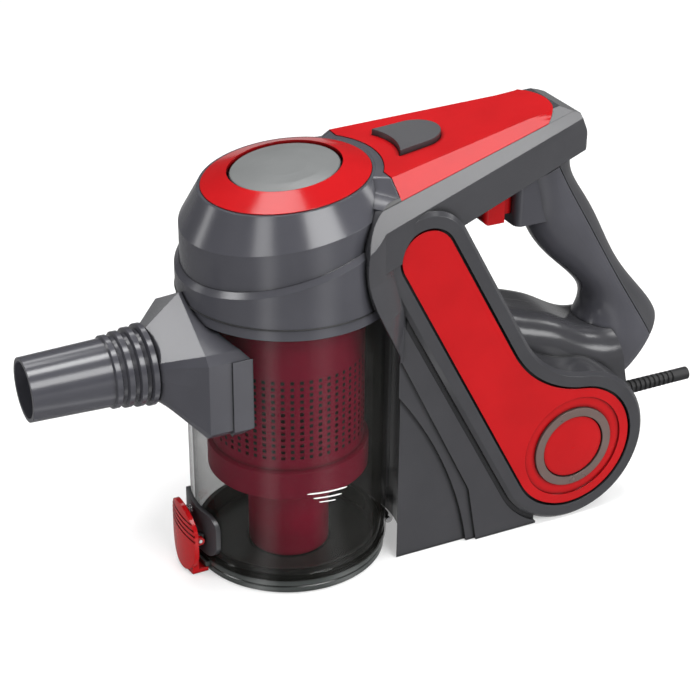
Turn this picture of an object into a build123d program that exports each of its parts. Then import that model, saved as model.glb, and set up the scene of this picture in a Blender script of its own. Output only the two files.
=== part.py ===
from build123d import *
import os
from math import acos, atan2, cos, pi, radians, sin, tan

# Handheld cyclone vacuum cleaner, in millimetres, +Z up and the floor at Z = 0.
# The origin is the middle of the dust cup's base. The nozzle points to -X, the grip lies at +X,
# and the side panels face -Y and +Y.

# Clearances
GAP = 0.3          # between pieces of different bodies
FIT = 0.1          # between pieces that seat in each other
RUN = 0.08         # radial clearance of pins and shafts

# Dust cup and its collar
CUP_R = 52.0
CUP_TAPER = 0.6    # growth of the cup's radius up to its top
CUP_WALL = 2.2
CUP_TOP_Z = 153.0
BEAD_H = 4.4
BEAD_T = 0.7
COLLAR_WALL = 3.0
COLLAR_H = 3.2     # lap of the collar over the cup
COLLAR_LEDGE = 3.0
LEDGE_W = 6.0
CATCH_WIDTH = 15.0
CATCH_DEPTH = 2.0
CUP_SEAL_W = 4.0

# Lid of the cup
LID_INSET = 0.2
LID_RIM_H = 8.0
LID_RIM_W = 2.2
LID_GROOVE_Z = 4.2
LID_GROOVE = 0.7
LID_FLOOR = 2.4
LID_PLUG_H = 13.0
LID_PLUG_WALL = 2.0
LID_SEAL_W = 1.2
LID_SEAL_GAP = 0.6
SEAL_H = 2.4
LIP_OUT = 2.2
LIP_HALF_W = 11.0
LIP_Z = 3.7
LIP_H = 2.6

# Lid hinge at the back of the cup
HINGE_OUT = 3.4
HINGE_Z = 2.6
HINGE_KNUCKLE_R = 2.4
HINGE_PIN_R = 1.0
HINGE_HALF_W = 11.0
HINGE_LID_HALF_W = 6.0
HINGE_LUG_H = 18.0

# Lid latch and its bracket at the front of the cup
BRACKET_T = 2.0
BRACKET_HALF_W = 21.0
BRACKET_TOP_Z = 38.0
EAR_R = 2.2
EAR_Y = 8.6
EAR_W = 2.4
LUG_W = 2.4
LATCH_PIVOT_OUT = 4.2
LATCH_PIVOT_Z = 22.0
LATCH_PIN_R = 1.0
KEY_OUT = 8.0      # from the cup wall to the back of the key
KEY_T = 2.4
KEY_HALF_W = 15.5
KEY_TOP_Z = 40.0
KEY_BASE_Z = 0.8
HOOK_H = 2.4
HOOK_GAP = 0.8

# Cyclone and filter
SHROUD_R = 40.0
SHROUD_WALL = 2.0
FLARE_R = 42.4
FLARE_Z = 52.0
FLARE_H = 15.0
FLARE_RISE = 6.0
SHROUD_FLANGE_T = 3.0
DUST_TUBE_R = 21.5
DUST_TUBE_GAP = 0.6
HOLE = 2.0
HOLE_PITCH = 3.6
HOLE_ROWS = 8
HOLE_COLUMNS = 26
HOLE_MARGIN = 8.0
FILTER_OUT_R = 34.0
FILTER_IN_R = 27.0
FILTER_PLEATS = 26
FILTER_BASE_Z = 92.0
FILTER_CAP = 3.0

# Inlet
INLET_Z = 125.6
MOUTH_X = -138.6
MOUTH_R = 16.1
SPIGOT_ROOT_R = 17.2
NOZZLE_BORE_R = 14.2
RIB_FIRST_X = -98.0
RIB_PITCH = 6.0
RIB_COUNT = 4
RIB_R = 18.4
RIB_GROWTH = 0.8
RIB_W = 3.4
RIB_SLOPE = 0.8
DUCT_NECK_X = -76.0
DUCT_NECK_R = 19.8
DUCT_WALL = 2.5
DUCT_HALF_W = 38.0
DUCT_BASE_Z = 96.0
DUCT_SHOULDER_Z = 142.0
DUCT_RIDGE_Z = 161.0
DUCT_CORNER = 4.0
DUCT_ROOT_X = -58.0
DUCT_END_X = -34.5
FLANGE_X = -46.0
FLANGE_T = 0.9
FLANGE_CORNER = 6.0
PORT_HALF_W = 26.0
PORT_H = 36.0

# Motor head
HEAD_PROUD = 0.3   # from the collar out to the head
HEAD_STEP = 2.8    # from the head's foot in to its upper wall
HEAD_WALL = 2.6
TOP_Z = 212.5
TOP_TILT = 6.87
STEP_Z = 184.0
STEP_TILT = 15.1
STEP_LEDGE = 0.4
CONE_MARGIN = 1.6
CONE_SLOPE = 1.45
TRIM_R = 42.2
TRIM_IN_R = 28.6
TRIM_SEAT = 2.0
TRIM_RISE = 5.4
TRIM_T = 2.6
DISC_R = 27.6
DISC_CROWN = 1.2
VENT_COUNT = 9
VENT_W = 3.0
VENT_H = 14.0
VENT_STEP = 8.0

# Motor
DECK_DROP = 3.2    # from the head's rim up to the motor deck
DECK_T = 2.5
INTAKE_R = 17.0
FAN_COVER_R = 44.0
FAN_COVER_H = 11.5
FAN_COVER_T = 1.2
FAN_R = 38.0
FAN_BLADES = 9
FAN_H = 8.0
BLADE_T = 1.2
FAN_LIFT = 2.0     # from the fan's back plate to the motor plate
SHAFT_R = 4.0
BEARING_R = 9.0
BEARING_H = 5.0
BEARING_SEAT = 2.5
NUT_H = 2.8
MOTOR_PLATE_T = 2.5
STATOR_R = 34.0
STATOR_FLAT = 4.0
STATOR_BORE_R = 17.5
STATOR_H = 12.0
ARMATURE_R = 17.0
ARMATURE_SLOTS = 12
COMMUTATOR_R = 10.0
COMMUTATOR_H = 4.5
COIL_H = 4.0
BRUSH_W = 6.0
BRUSH_H = 3.2
BRUSH_L = 14.0

# Frame: arm, pillar, drum and skirt
WALL = 2.8
FRAME_CLEAR = 5.1  # room round the cup for its hinge
SLEEVE_WALL = 3.2
SLEEVE_FOOT = 2.2
SLEEVE_DROP = 34.0
SLEEVE_LAP = 4.5
ARM_L = 172.0
ARM_END_X = 165.5
ARM_TOP_FRONT, ARM_TOP_END = 42.4, 9.4
ARM_BEVEL_FRONT, ARM_BEVEL_END = 55.7, 12.8
ARM_SIDE_FRONT, ARM_SIDE_END = 59.6, 14.9
BEVEL_DROP_FRONT, BEVEL_DROP_END = 9.6, 2.7
STRIP_DROP_FRONT, STRIP_DROP_END = 21.3, 7.6
ARM_H_FRONT, ARM_H_END = 43.3, 26.4
ARM_END_CORNER = 10.0
PILLAR_X = 55.0
PILLAR_DROP = 35.5
PILLAR_R = 24.0
PILLAR_LEAN = 28.6
DRUM_X = 148.5
DRUM_R = 45.0
DRUM_FILLET = 50.0
RIM_HALF_W = 47.5
RIM_CHAMFER = 2.0
FLANK_HALF_W = 45.5
VALLEY_W = 3.0
VALLEY_DEPTH = 2.2
SKIRT_HALF_W = 44.0
SCOOP_HALF_W = 42.0
SADDLE_HALF_W = 27.0
SADDLE_FILLET = 15.0
POCKET_INSET = 8.2
POCKET_DEPTH = 3.2
PANEL_T = 2.7
PANEL_GAP = 1.4
DISH_W = 6.5
DISH_DEPTH = 1.0
RING_R = 23.6
RING_IN_R = 18.8
RING_T = 3.2
CAP_T = 2.4
CAP_CROWN = 0.6
COVER_NOTCH_R = 48.2
COVER_END_X = 139.0
COVER_CORNER = 10.0
COVER_T = 2.6
RIB_T = 2.0        # ribs and shelves inside the frame

# Release button, rod and cup latch
BUTTON_X0, BUTTON_X1 = 54.5, 83.5
BUTTON_HALF_W = 15.5
BUTTON_RISE = 2.9
BUTTON_FOOT = 4.6
BUTTON_TRAVEL = 3.0
ROD_R = 3.0
ROD_COLLAR_DROP = 8.0
ROD_COLLAR_T = 2.0
ROD_COLLAR_W = 2.5
ROD_GUIDE_DROP = 18.5
CUP_LATCH_RISE = 1.0
CUP_LATCH_T = 2.4
CUP_LATCH_HALF_W = 6.0
CUP_LATCH_RAMP = 7.0
CUP_LATCH_TAIL = 3.6
SPRING_R = 4.6
SPRING_WIRE = 0.8
LATCH_SPRING_R = 2.6
LATCH_SPRING_L = 10.0

# Grip and trigger
GRIP_SEAM = 9.0
GRIP_SEAM_LEAN = 31.0
GRIP_BLOCK_X = 126.0
GRIP_BLOCK_BASE_Z = 165.0
GRIP_BLOCK_HALF_W = 12.0
HEEL_X, HEEL_Z = 220.0, 88.0
HEEL_LEAN = 42.0
TRIGGER_BASE_Z = 167.0
TRIGGER_H = 18.0
TRIGGER_HALF_W = 7.4
TRIGGER_HEAD = 12.0
TRIGGER_TRAVEL = 4.0
TRIGGER_ROUND = 3.0
STEM_HALF_W = 5.5
STEM_RISE = 4.0
STEM_H = 11.0
SWITCH_X = 146.0
SWITCH_L = 10.0
TRIGGER_SPRING_R = 3.2
FINE_WIRE = 0.6

# Strain relief
CORD_Z = 41.5
BOOT_END_X = 257.0
BOOT_R = 4.2
BOOT_END_R = 3.8
BOOT_BORE_R = 2.6
BOOT_RIBS = 15
BOOT_RIB_DEPTH = 0.8
BOOT_PLAIN = 11.0
BOOT_FLANGE_R = 7.5
BOOT_FLANGE_T = 3.0
BOOT_SINK = 8.0    # from the drum's back in to the boot's seat
BOOT_BARE = 4.0

# Interference suppressor in the drum
SHELF_DROP = 22.0
SUPPRESSOR_L, SUPPRESSOR_W, SUPPRESSOR_H = 18.0, 12.0, 20.0

# Screws
SCREW_R = 1.5
SCREW_HEAD_R = 3.0
SCREW_HEAD_T = 2.2
SCREW_SINK = 4.0
BOSS_R = 4.2
ARM_SCREW_X = 118.0

# Places worked out from the sizes above
FAR = 400.0
TILT = radians(TOP_TILT)
TOP = Plane(origin=(0, 0, TOP_Z), x_dir=(cos(TILT), 0, sin(TILT)), z_dir=(-sin(TILT), 0, cos(TILT)))
CUP_TOP_R = CUP_R + CUP_TAPER
CUP_IN_R = CUP_R - CUP_WALL
COLLAR_R = CUP_TOP_R + FIT + COLLAR_WALL
COLLAR_Z = CUP_TOP_Z - COLLAR_H
COLLAR_TOP_Z = CUP_TOP_Z + COLLAR_LEDGE
COLLAR_IN_R = CUP_TOP_R - CUP_WALL - LEDGE_W
LID_R = CUP_R - LID_INSET
LID_PLUG_R = CUP_IN_R - LID_SEAL_GAP - LID_SEAL_W
HINGE_X = CUP_R + HINGE_OUT
BRACKET_R = CUP_R + CUP_TAPER + BRACKET_T
LATCH_PIVOT_X = -CUP_R - LATCH_PIVOT_OUT
LUG_Y = EAR_Y + EAR_W + GAP
KEY_R = CUP_R + KEY_OUT
HEAD_BASE_Z = COLLAR_TOP_Z + GAP
HEAD_R = COLLAR_R + HEAD_PROUD
HEAD_UPPER_R = HEAD_R - HEAD_STEP
CONE_R = TRIM_R + CONE_MARGIN
DECK_Z = HEAD_BASE_Z + DECK_DROP
FAN_Z = DECK_Z + DECK_T
MOTOR_PLATE_Z = FAN_Z + FAN_COVER_H
FAN_TOP_Z = MOTOR_PLATE_Z - FAN_LIFT
STATOR_Z = MOTOR_PLATE_Z + BEARING_H + 2.0
STATOR_TOP_Z = STATOR_Z + STATOR_H
BRACKET_Z = STATOR_TOP_Z + COMMUTATOR_H
FRAME_FRONT_R = COLLAR_R + FRAME_CLEAR
SLEEVE_R = HEAD_R + GAP + SLEEVE_WALL
PILLAR_Z = TOP_Z - PILLAR_DROP
DRUM_Z = DRUM_R
POCKET_FLOOR = RIM_HALF_W - POCKET_DEPTH
CUP_LATCH_Z = COLLAR_Z + CUP_LATCH_RISE
CUP_LATCH_TOP_Z = CUP_LATCH_Z + CUP_LATCH_T
RAMP_X = FRAME_FRONT_R + WALL + 1.0
ROD_X = RAMP_X + ROD_R + BUTTON_TRAVEL + GAP
ROD_COLLAR_Z = TOP_Z - ROD_COLLAR_DROP
ROD_GUIDE_Z = ROD_COLLAR_Z - ROD_GUIDE_DROP
CUP_LATCH_BACK = RAMP_X + CUP_LATCH_RAMP + CUP_LATCH_TAIL
STOP_X = CUP_LATCH_BACK + LATCH_SPRING_L
TRIGGER_X = GRIP_BLOCK_X - TRIGGER_TRAVEL - 2 * GAP - TRIGGER_HEAD
STEM_BASE_Z = TRIGGER_BASE_Z + STEM_RISE
STEM_END_X = SWITCH_X - TRIGGER_TRAVEL - 2.0
BOOT_SEAT_X = DRUM_X + DRUM_R - BOOT_SINK


# Helpers

def turned(points):
    """Solid turned about Z from (radius, height) points."""
    return revolve(Plane.XZ * make_face(Polyline(*points, close=True)), Axis.Z)


def drum(radius, z0, z1):
    """Upright cylinder between two heights."""
    return Pos(0, 0, (z0 + z1) / 2) * Cylinder(radius, z1 - z0)


def tube(outer, inner, z0, z1):
    return drum(outer, z0, z1) - drum(inner, z0, z1)


def bar(x, z, radius, y0, y1):
    """Round bar along Y."""
    return Pos(x, (y0 + y1) / 2, z) * Rot(90, 0, 0) * Cylinder(radius, y1 - y0)


def rod_x(z, radius, x0, x1):
    """Round bar along X in the middle plane."""
    return Pos((x0 + x1) / 2, 0, z) * Rot(0, 90, 0) * Cylinder(radius, x1 - x0)


def block(x0, x1, y0, y1, z0, z1):
    return Pos((x0 + x1) / 2, (y0 + y1) / 2, (z0 + z1) / 2) * Box(x1 - x0, y1 - y0, z1 - z0)


def side(points):
    """Flat face from (x, z) points of a side view."""
    return make_face(Polyline(*points, close=True))


def across(face, half_width):
    """Side-view face drawn out equally to both sides."""
    return extrude(Plane.XZ * face, half_width, both=True)


def layer(face, y0, y1):
    """Side-view face drawn out from y0 to y1."""
    return Pos(0, y1, 0) * extrude(Plane.XZ * face, y1 - y0)


def below(plane):
    """Everything under a plane."""
    return plane * Box(2 * FAR, 2 * FAR, FAR, align=(Align.CENTER, Align.CENTER, Align.MAX))


def spring(radius, wire, length, turns):
    """Coil spring of square wire standing on Z = 0, wholly inside its length."""
    path = Helix((length - wire) / turns, length - wire, radius)
    start = Plane(origin=path @ 0, z_dir=path % 0)
    return Pos(0, 0, wire / 2) * sweep(start * Rectangle(wire, wire), path=path, is_frenet=True)


# Dust cup

def cup_radius(z):
    """Outer radius of the tapered cup wall at a height."""
    return CUP_R + CUP_TAPER * (z - LID_RIM_H) / (CUP_TOP_Z - LID_RIM_H)


def inlet_port():
    """Opening in the cup wall behind the inlet duct."""
    return block(-FAR, -CUP_R / 2, -PORT_HALF_W, PORT_HALF_W, INLET_Z - PORT_H / 2, INLET_Z + PORT_H / 2)


def dust_cup():
    """Clear wall with a bead at its foot and two hinge lugs at its back."""
    z0 = LID_RIM_H + GAP
    wall = turned([
        (CUP_R + BEAD_T, z0), (CUP_R + BEAD_T, z0 + BEAD_H - BEAD_T), (cup_radius(z0 + BEAD_H), z0 + BEAD_H),
        (CUP_TOP_R, CUP_TOP_Z), (CUP_TOP_R - CUP_WALL, CUP_TOP_Z), (CUP_IN_R, z0),
    ])
    inner_y = HINGE_LID_HALF_W + GAP
    lugs = Part()
    for y0, y1 in ((-HINGE_HALF_W, -inner_y), (inner_y, HINGE_HALF_W)):
        lugs += bar(HINGE_X, HINGE_Z, HINGE_KNUCKLE_R, y0, y1)
        lugs += block(CUP_R / 2, HINGE_X + HINGE_KNUCKLE_R, y0, y1, HINGE_Z, HINGE_Z + HINGE_LUG_H)
    lugs -= drum(LID_R + GAP, -1, z0)
    lugs -= drum(CUP_R - CUP_WALL / 2, 0, CUP_TOP_Z)
    lugs -= bar(HINGE_X, HINGE_Z, HINGE_PIN_R + RUN, -FAR, FAR)
    return wall + lugs - inlet_port()


def cup_collar():
    """Ring glued over the cup's top, with a ledge inside and a catch for the cup latch."""
    inner = CUP_TOP_R + FIT
    ring = turned([
        (inner, COLLAR_Z), (COLLAR_R - 0.5, COLLAR_Z), (COLLAR_R, COLLAR_Z + 0.5), (COLLAR_R, COLLAR_TOP_Z),
        (COLLAR_IN_R, COLLAR_TOP_Z), (COLLAR_IN_R, CUP_TOP_Z), (inner, CUP_TOP_Z),
    ])
    catch = block(COLLAR_R - CATCH_DEPTH, COLLAR_R + 1, -CATCH_WIDTH / 2, CATCH_WIDTH / 2,
                  COLLAR_Z - 1, CUP_LATCH_TOP_Z + GAP)
    return ring - catch


def cup_seal():
    return tube(COLLAR_IN_R + 1 + CUP_SEAL_W, COLLAR_IN_R + 1, COLLAR_TOP_Z, DECK_Z - GAP)


def lid_profile():
    """Half section of the lid: stepped rim, floor and the plug that enters the cup."""
    return [
        (0, 0), (LID_R - 2 * LID_GROOVE, 0), (LID_R - LID_GROOVE / 2, LID_GROOVE),
        (LID_R - LID_GROOVE / 2, LID_GROOVE_Z - LID_GROOVE), (LID_R - 1.5 * LID_GROOVE, LID_GROOVE_Z),
        (LID_R, LID_GROOVE_Z + LID_GROOVE), (LID_R, LID_RIM_H), (LID_R - LID_RIM_W, LID_RIM_H),
        (LID_R - LID_RIM_W, LID_FLOOR), (LID_PLUG_R, LID_FLOOR), (LID_PLUG_R, LID_PLUG_H),
        (LID_PLUG_R - LID_PLUG_WALL, LID_PLUG_H), (LID_PLUG_R - LID_PLUG_WALL, LID_FLOOR), (0, LID_FLOOR),
    ]


def cup_lid():
    knuckle = bar(HINGE_X, HINGE_Z, HINGE_KNUCKLE_R, -HINGE_LID_HALF_W, HINGE_LID_HALF_W)
    knuckle += block(LID_R - LID_RIM_W, HINGE_X, -HINGE_LID_HALF_W, HINGE_LID_HALF_W,
                     HINGE_Z - HINGE_KNUCKLE_R, HINGE_Z + HINGE_KNUCKLE_R)
    lip = tube(LID_R + LIP_OUT, LID_R - LID_RIM_W / 2, LIP_Z, LIP_Z + LIP_H)
    lip &= block(-FAR, 0, -LIP_HALF_W, LIP_HALF_W, 0, LID_RIM_H)
    lid = turned(lid_profile()) + knuckle + lip
    return lid - bar(HINGE_X, HINGE_Z, HINGE_PIN_R + RUN, -FAR, FAR)


def lid_seal():
    top = LID_PLUG_H - LID_GROOVE
    return tube(LID_PLUG_R + LID_SEAL_W, LID_PLUG_R, top - SEAL_H, top)


def hinge_pin():
    return bar(HINGE_X, HINGE_Z, HINGE_PIN_R, -HINGE_HALF_W, HINGE_HALF_W)


# Lid latch

def latch_bracket():
    """Saddle on the cup's front with two ears for the latch pin."""
    z0 = LID_RIM_H + GAP + BEAD_H + FIT
    saddle = tube(BRACKET_R, cup_radius(BRACKET_TOP_Z) + FIT, z0, BRACKET_TOP_Z)
    outline = RectangleRounded(2 * BRACKET_HALF_W, BRACKET_TOP_Z - z0, 4 * BRACKET_T)
    window = Plane(origin=(0, 0, (z0 + BRACKET_TOP_Z) / 2), x_dir=(0, 1, 0), z_dir=(-1, 0, 0)) * outline
    saddle &= extrude(window, FAR)
    ears = Part()
    for y0, y1 in ((-EAR_Y - EAR_W, -EAR_Y), (EAR_Y, EAR_Y + EAR_W)):
        ears += bar(LATCH_PIVOT_X, LATCH_PIVOT_Z, EAR_R, y0, y1)
        ears += block(LATCH_PIVOT_X, -CUP_R / 2, y0, y1, LATCH_PIVOT_Z - EAR_R, LATCH_PIVOT_Z + EAR_R)
    ears -= drum(BRACKET_R - BRACKET_T / 2, 0, FAR)
    return saddle + ears - bar(LATCH_PIVOT_X, LATCH_PIVOT_Z, LATCH_PIN_R + RUN, -FAR, FAR)


def lid_latch():
    """Rocking press key that follows the cup's curve, with two lugs and a hook at its foot."""
    outline = RectangleRounded(2 * KEY_HALF_W, KEY_TOP_Z - KEY_BASE_Z, KEY_HALF_W - 0.5)
    middle = Plane(origin=(0, 0, (KEY_TOP_Z + KEY_BASE_Z) / 2), x_dir=(0, 1, 0), z_dir=(-1, 0, 0))
    window = extrude(middle * outline, FAR)
    paddle = tube(KEY_R + KEY_T, KEY_R, KEY_BASE_Z, KEY_TOP_Z) & window
    groove = tube(KEY_R + 2 * KEY_T, KEY_R + KEY_T - 0.5, 0, 1.2)
    for index in range(4):
        paddle -= Pos(0, 0, KEY_TOP_Z - 3 * KEY_T - 3.2 * index) * groove
    hook = tube(KEY_R + KEY_T / 2, LID_R + HOOK_GAP, KEY_BASE_Z, KEY_BASE_Z + HOOK_H)
    hook &= block(-FAR, 0, -LIP_HALF_W, LIP_HALF_W, 0, FAR)
    shank = tube(KEY_R + KEY_T / 2, KEY_R - KEY_T, KEY_BASE_Z, KEY_BASE_Z + 3 * HOOK_H)
    hook += shank & block(-FAR, 0, -LIP_HALF_W, LIP_HALF_W, 0, FAR)
    lugs = Part()
    for y0, y1 in ((-LUG_Y - LUG_W, -LUG_Y), (LUG_Y, LUG_Y + LUG_W)):
        lugs += bar(LATCH_PIVOT_X, LATCH_PIVOT_Z, EAR_R, y0, y1)
        lugs += block(-KEY_R - KEY_T / 2, LATCH_PIVOT_X, y0, y1,
                      LATCH_PIVOT_Z - EAR_R, LATCH_PIVOT_Z + EAR_R)
    lugs &= drum(KEY_R + KEY_T / 2, 0, KEY_TOP_Z)
    lugs -= drum(BRACKET_R + 2 * GAP, 0, KEY_TOP_Z)
    return paddle + hook + lugs - bar(LATCH_PIVOT_X, LATCH_PIVOT_Z, LATCH_PIN_R + RUN, -FAR, FAR)


def latch_pin():
    half = LUG_Y + LUG_W
    return bar(LATCH_PIVOT_X, LATCH_PIVOT_Z, LATCH_PIN_R, -half, half)


def latch_spring():
    """Small coil between the bracket and the back of the key's head."""
    length = KEY_R - BRACKET_R - 2 * FIT
    coil = spring(LATCH_SPRING_R - FINE_WIRE, FINE_WIRE, length, 3)
    return Pos(-KEY_R + FIT, 0, BRACKET_TOP_Z - LATCH_SPRING_R - FINE_WIRE) * Rot(0, 90, 0) * coil


# Cyclone and filter

def shroud_holes():
    """Rows of small square holes round the shroud's wall."""
    hole = block(SHROUD_R - 2 * SHROUD_WALL, SHROUD_R + 2, -HOLE / 2, HOLE / 2, -HOLE / 2, HOLE / 2)
    first = FLARE_Z + FLARE_H + HOLE_MARGIN
    holes = []
    for column in range(HOLE_COLUMNS):
        for row in range(HOLE_ROWS):
            turn = 360 / HOLE_COLUMNS * (column + 0.5)
            holes.append(Pos(0, 0, first + row * HOLE_PITCH) * Rot(0, 0, turn) * hole)
    return holes


def cyclone_shroud():
    """Perforated shroud with a flange under the collar's ledge and a broad band at its foot."""
    flange_r = CUP_TOP_R - CUP_WALL - FIT
    flange_z = CUP_TOP_Z - SHROUD_FLANGE_T
    inner = SHROUD_R - SHROUD_WALL
    throat = DUST_TUBE_R - SHROUD_WALL
    floor = FLARE_Z + FLARE_RISE
    shell = turned([
        (inner, CUP_TOP_Z), (flange_r, CUP_TOP_Z), (flange_r, flange_z), (SHROUD_R, flange_z),
        (SHROUD_R, FLARE_Z + FLARE_H + 1), (FLARE_R, FLARE_Z + FLARE_H), (FLARE_R, FLARE_Z),
        (FLARE_R - SHROUD_WALL, FLARE_Z), (DUST_TUBE_R, floor), (throat, floor),
        (throat, floor + SHROUD_WALL), (inner, floor + SHROUD_WALL - FLARE_RISE / 2),
    ])
    return shell - shroud_holes()


def dust_tube():
    """Tube that carries the separated dust down to the lid."""
    return tube(DUST_TUBE_R, DUST_TUBE_R - SHROUD_WALL, LID_FLOOR + DUST_TUBE_GAP, FLARE_Z + FLARE_RISE)


def filter_frame():
    """End caps of the filter, joined by posts."""
    inner = FILTER_IN_R - 4
    cap = drum(FILTER_OUT_R + 1, FILTER_BASE_Z, FILTER_BASE_Z + FILTER_CAP)
    cap += tube(COLLAR_IN_R - FIT, inner, COLLAR_TOP_Z - FILTER_CAP, COLLAR_TOP_Z)
    post = block(inner, inner + 2.5, -2, 2, FILTER_BASE_Z, COLLAR_TOP_Z)
    for turn in range(0, 360, 90):
        cap += Rot(0, 0, turn) * post
    return cap


def filter_pleats():
    """Pleated paper between the end caps."""
    points = []
    for index in range(2 * FILTER_PLEATS):
        radius = FILTER_OUT_R if index % 2 else FILTER_IN_R + 2
        angle = pi * index / FILTER_PLEATS
        points.append((radius * cos(angle), radius * sin(angle)))
    z0 = FILTER_BASE_Z + FILTER_CAP
    z1 = COLLAR_TOP_Z - FILTER_CAP
    star = extrude(Pos(0, 0, z0) * make_face(Polyline(*points, close=True)), z1 - z0)
    return star - drum(FILTER_IN_R, z0, z1)


# Inlet

def duct_outline(inset):
    """Gabled outline of the duct's box, as (y, z) points drawn in by an inset."""
    half = DUCT_HALF_W - inset
    low = DUCT_BASE_Z + inset
    shoulder = DUCT_SHOULDER_Z - inset / 2
    cut = DUCT_CORNER
    right = [(half - cut, low), (half, low + cut), (half, INLET_Z),
             (half, shoulder - cut), (half - cut, shoulder)]
    return [(0, low)] + right + [(0, DUCT_RIDGE_Z - inset)] + [(-y, z) for y, z in reversed(right)]


def duct_form(inset):
    """Duct that opens from the round neck into a gabled box on the cup wall, drawn in by an inset."""
    box = duct_outline(inset)
    neck = []
    for y, z in box:
        angle = atan2(z - INLET_Z, y)
        neck.append(((DUCT_NECK_R - inset) * cos(angle), INLET_Z + (DUCT_NECK_R - inset) * sin(angle)))
    faces = []
    for x, outline in ((DUCT_NECK_X, neck), (DUCT_ROOT_X, box)):
        plane = Plane(origin=(x, 0, 0), x_dir=(0, 1, 0), z_dir=(1, 0, 0))
        faces.append(plane * make_face(Polyline(*outline, close=True)))
    return loft(faces, ruled=True) + extrude(faces[1], DUCT_END_X - DUCT_ROOT_X)


def cup_solid(extra):
    """Solid that the duct has to stay out of: cup wall, collar and the head's rim."""
    return turned([
        (0, 0), (cup_radius(0) + extra, 0), (CUP_TOP_R + extra, COLLAR_Z - extra),
        (COLLAR_R + extra, COLLAR_Z - extra), (COLLAR_R + extra, COLLAR_TOP_Z), (HEAD_R + GAP, COLLAR_TOP_Z),
        (HEAD_R + GAP, TOP_Z), (0, TOP_Z),
    ])


def duct_flange():
    """Raised plates on the duct's sides, where it is fastened to the cup."""
    face = side([(FLANGE_X, DUCT_BASE_Z - FLANGE_T), (DUCT_END_X, DUCT_BASE_Z - FLANGE_T),
                 (DUCT_END_X, DUCT_SHOULDER_Z - DUCT_CORNER), (FLANGE_X, DUCT_SHOULDER_Z - DUCT_CORNER)])
    foot = face.vertices().group_by(Axis.X)[-1].sort_by(Axis.Y)[0]
    return duct_form(-FLANGE_T) & across(fillet(foot, FLANGE_CORNER), FAR / 4)


def inlet_duct():
    shell = duct_form(0) + duct_flange() - duct_form(DUCT_WALL) - cup_solid(FIT)
    return shell - rod_x(INLET_Z, NOZZLE_BORE_R + 1.5, DUCT_NECK_X - 1, DUCT_NECK_X + 6)


def inlet_spigot():
    """Tapered nozzle with a straight bore and a stack of ribs at its root."""
    outline = [(NOZZLE_BORE_R, MOUTH_X), (MOUTH_R, MOUTH_X)]
    for index in range(RIB_COUNT):
        x = RIB_FIRST_X + index * RIB_PITCH
        rib = RIB_R + index * RIB_GROWTH
        root = SPIGOT_ROOT_R + index * RIB_GROWTH / 2
        outline += [(root, x), (rib, x + RIB_SLOPE), (rib, x + RIB_W), (root, x + RIB_W + RIB_SLOPE)]
    end = DUCT_NECK_X - FIT
    outline += [(DUCT_NECK_R, end - 1), (DUCT_NECK_R, end), (NOZZLE_BORE_R, end)]
    return Pos(0, 0, INLET_Z) * Rot(0, 90, 0) * turned(outline)


# Motor head

def step_plane():
    """Slanted plane of the step round the head."""
    tilt = radians(STEP_TILT)
    return Plane(origin=(0, 0, STEP_Z), x_dir=(cos(tilt), 0, sin(tilt)), z_dir=(-sin(tilt), 0, cos(tilt)))


def head_form(inset):
    """Motor head drawn in by an inset: a foot with a slanted, bevelled step and a tilted cone."""
    foot = drum(HEAD_R - inset, HEAD_BASE_Z, TOP_Z) & below(step_plane())
    foot = chamfer(foot.edges().filter_by(GeomType.ELLIPSE), HEAD_STEP - STEP_LEDGE)
    reach = 2 * HEAD_R
    cone = TOP * turned([
        (0, -inset), (CONE_R - inset, -inset), (reach, -inset - (reach - CONE_R + inset) * CONE_SLOPE),
        (reach, -FAR / 2), (0, -FAR / 2),
    ])
    return foot + (drum(HEAD_UPPER_R - inset, HEAD_BASE_Z, TOP_Z + HEAD_R) & cone)


def head_shell():
    shell = head_form(0) - head_form(HEAD_WALL + TRIM_SEAT)
    shell -= drum(HEAD_UPPER_R - HEAD_WALL, HEAD_BASE_Z - 1, FAN_Z)
    shell -= TOP * drum(TRIM_R + FIT, -TRIM_SEAT, TRIM_SEAT)
    vent = block(0, HEAD_R + 5, -VENT_W / 2, VENT_W / 2, FAN_Z + 2, FAN_Z + 2 + VENT_H)
    first = 90 - VENT_STEP * (VENT_COUNT - 1) / 2
    vents = [Rot(0, 0, first + VENT_STEP * index) * vent for index in range(VENT_COUNT)]
    return shell - vents


def top_ring():
    return TOP * turned([
        (TRIM_R, -TRIM_SEAT), (TRIM_R, 0.4), (TRIM_IN_R, TRIM_RISE), (TRIM_IN_R, TRIM_RISE - TRIM_T),
        (TRIM_IN_R + 5, 0.6), (TRIM_IN_R + 5, -TRIM_SEAT),
    ])


def top_disc():
    """Crowned disc inside the ring."""
    rim = TRIM_RISE - 1.0
    return TOP * turned([
        (0, -TRIM_SEAT), (DISC_R, -TRIM_SEAT), (DISC_R, rim - 0.6), (DISC_R - 0.6, rim),
        (0.7 * DISC_R, rim + 0.5 * DISC_CROWN), (0.4 * DISC_R, rim + 0.85 * DISC_CROWN),
        (0, rim + DISC_CROWN),
    ])


# Motor, from the deck upwards

def motor_deck():
    """Plate across the head that the motor's fan cover stands on."""
    return tube(HEAD_UPPER_R - HEAD_WALL - FIT, INTAKE_R, DECK_Z, FAN_Z)


def motor_ring():
    """Rubber ring that centres the motor in the head."""
    return tube(HEAD_UPPER_R - HEAD_WALL - TRIM_SEAT - FIT, FAN_COVER_R, FAN_Z, FAN_Z + FAN_COVER_H / 2)


def fan_cover():
    cover = drum(FAN_COVER_R, FAN_Z, MOTOR_PLATE_Z)
    cover -= drum(FAN_COVER_R - FAN_COVER_T, FAN_Z + FAN_COVER_T, MOTOR_PLATE_Z)
    return cover - drum(INTAKE_R, FAN_Z - 1, MOTOR_PLATE_Z)


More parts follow.
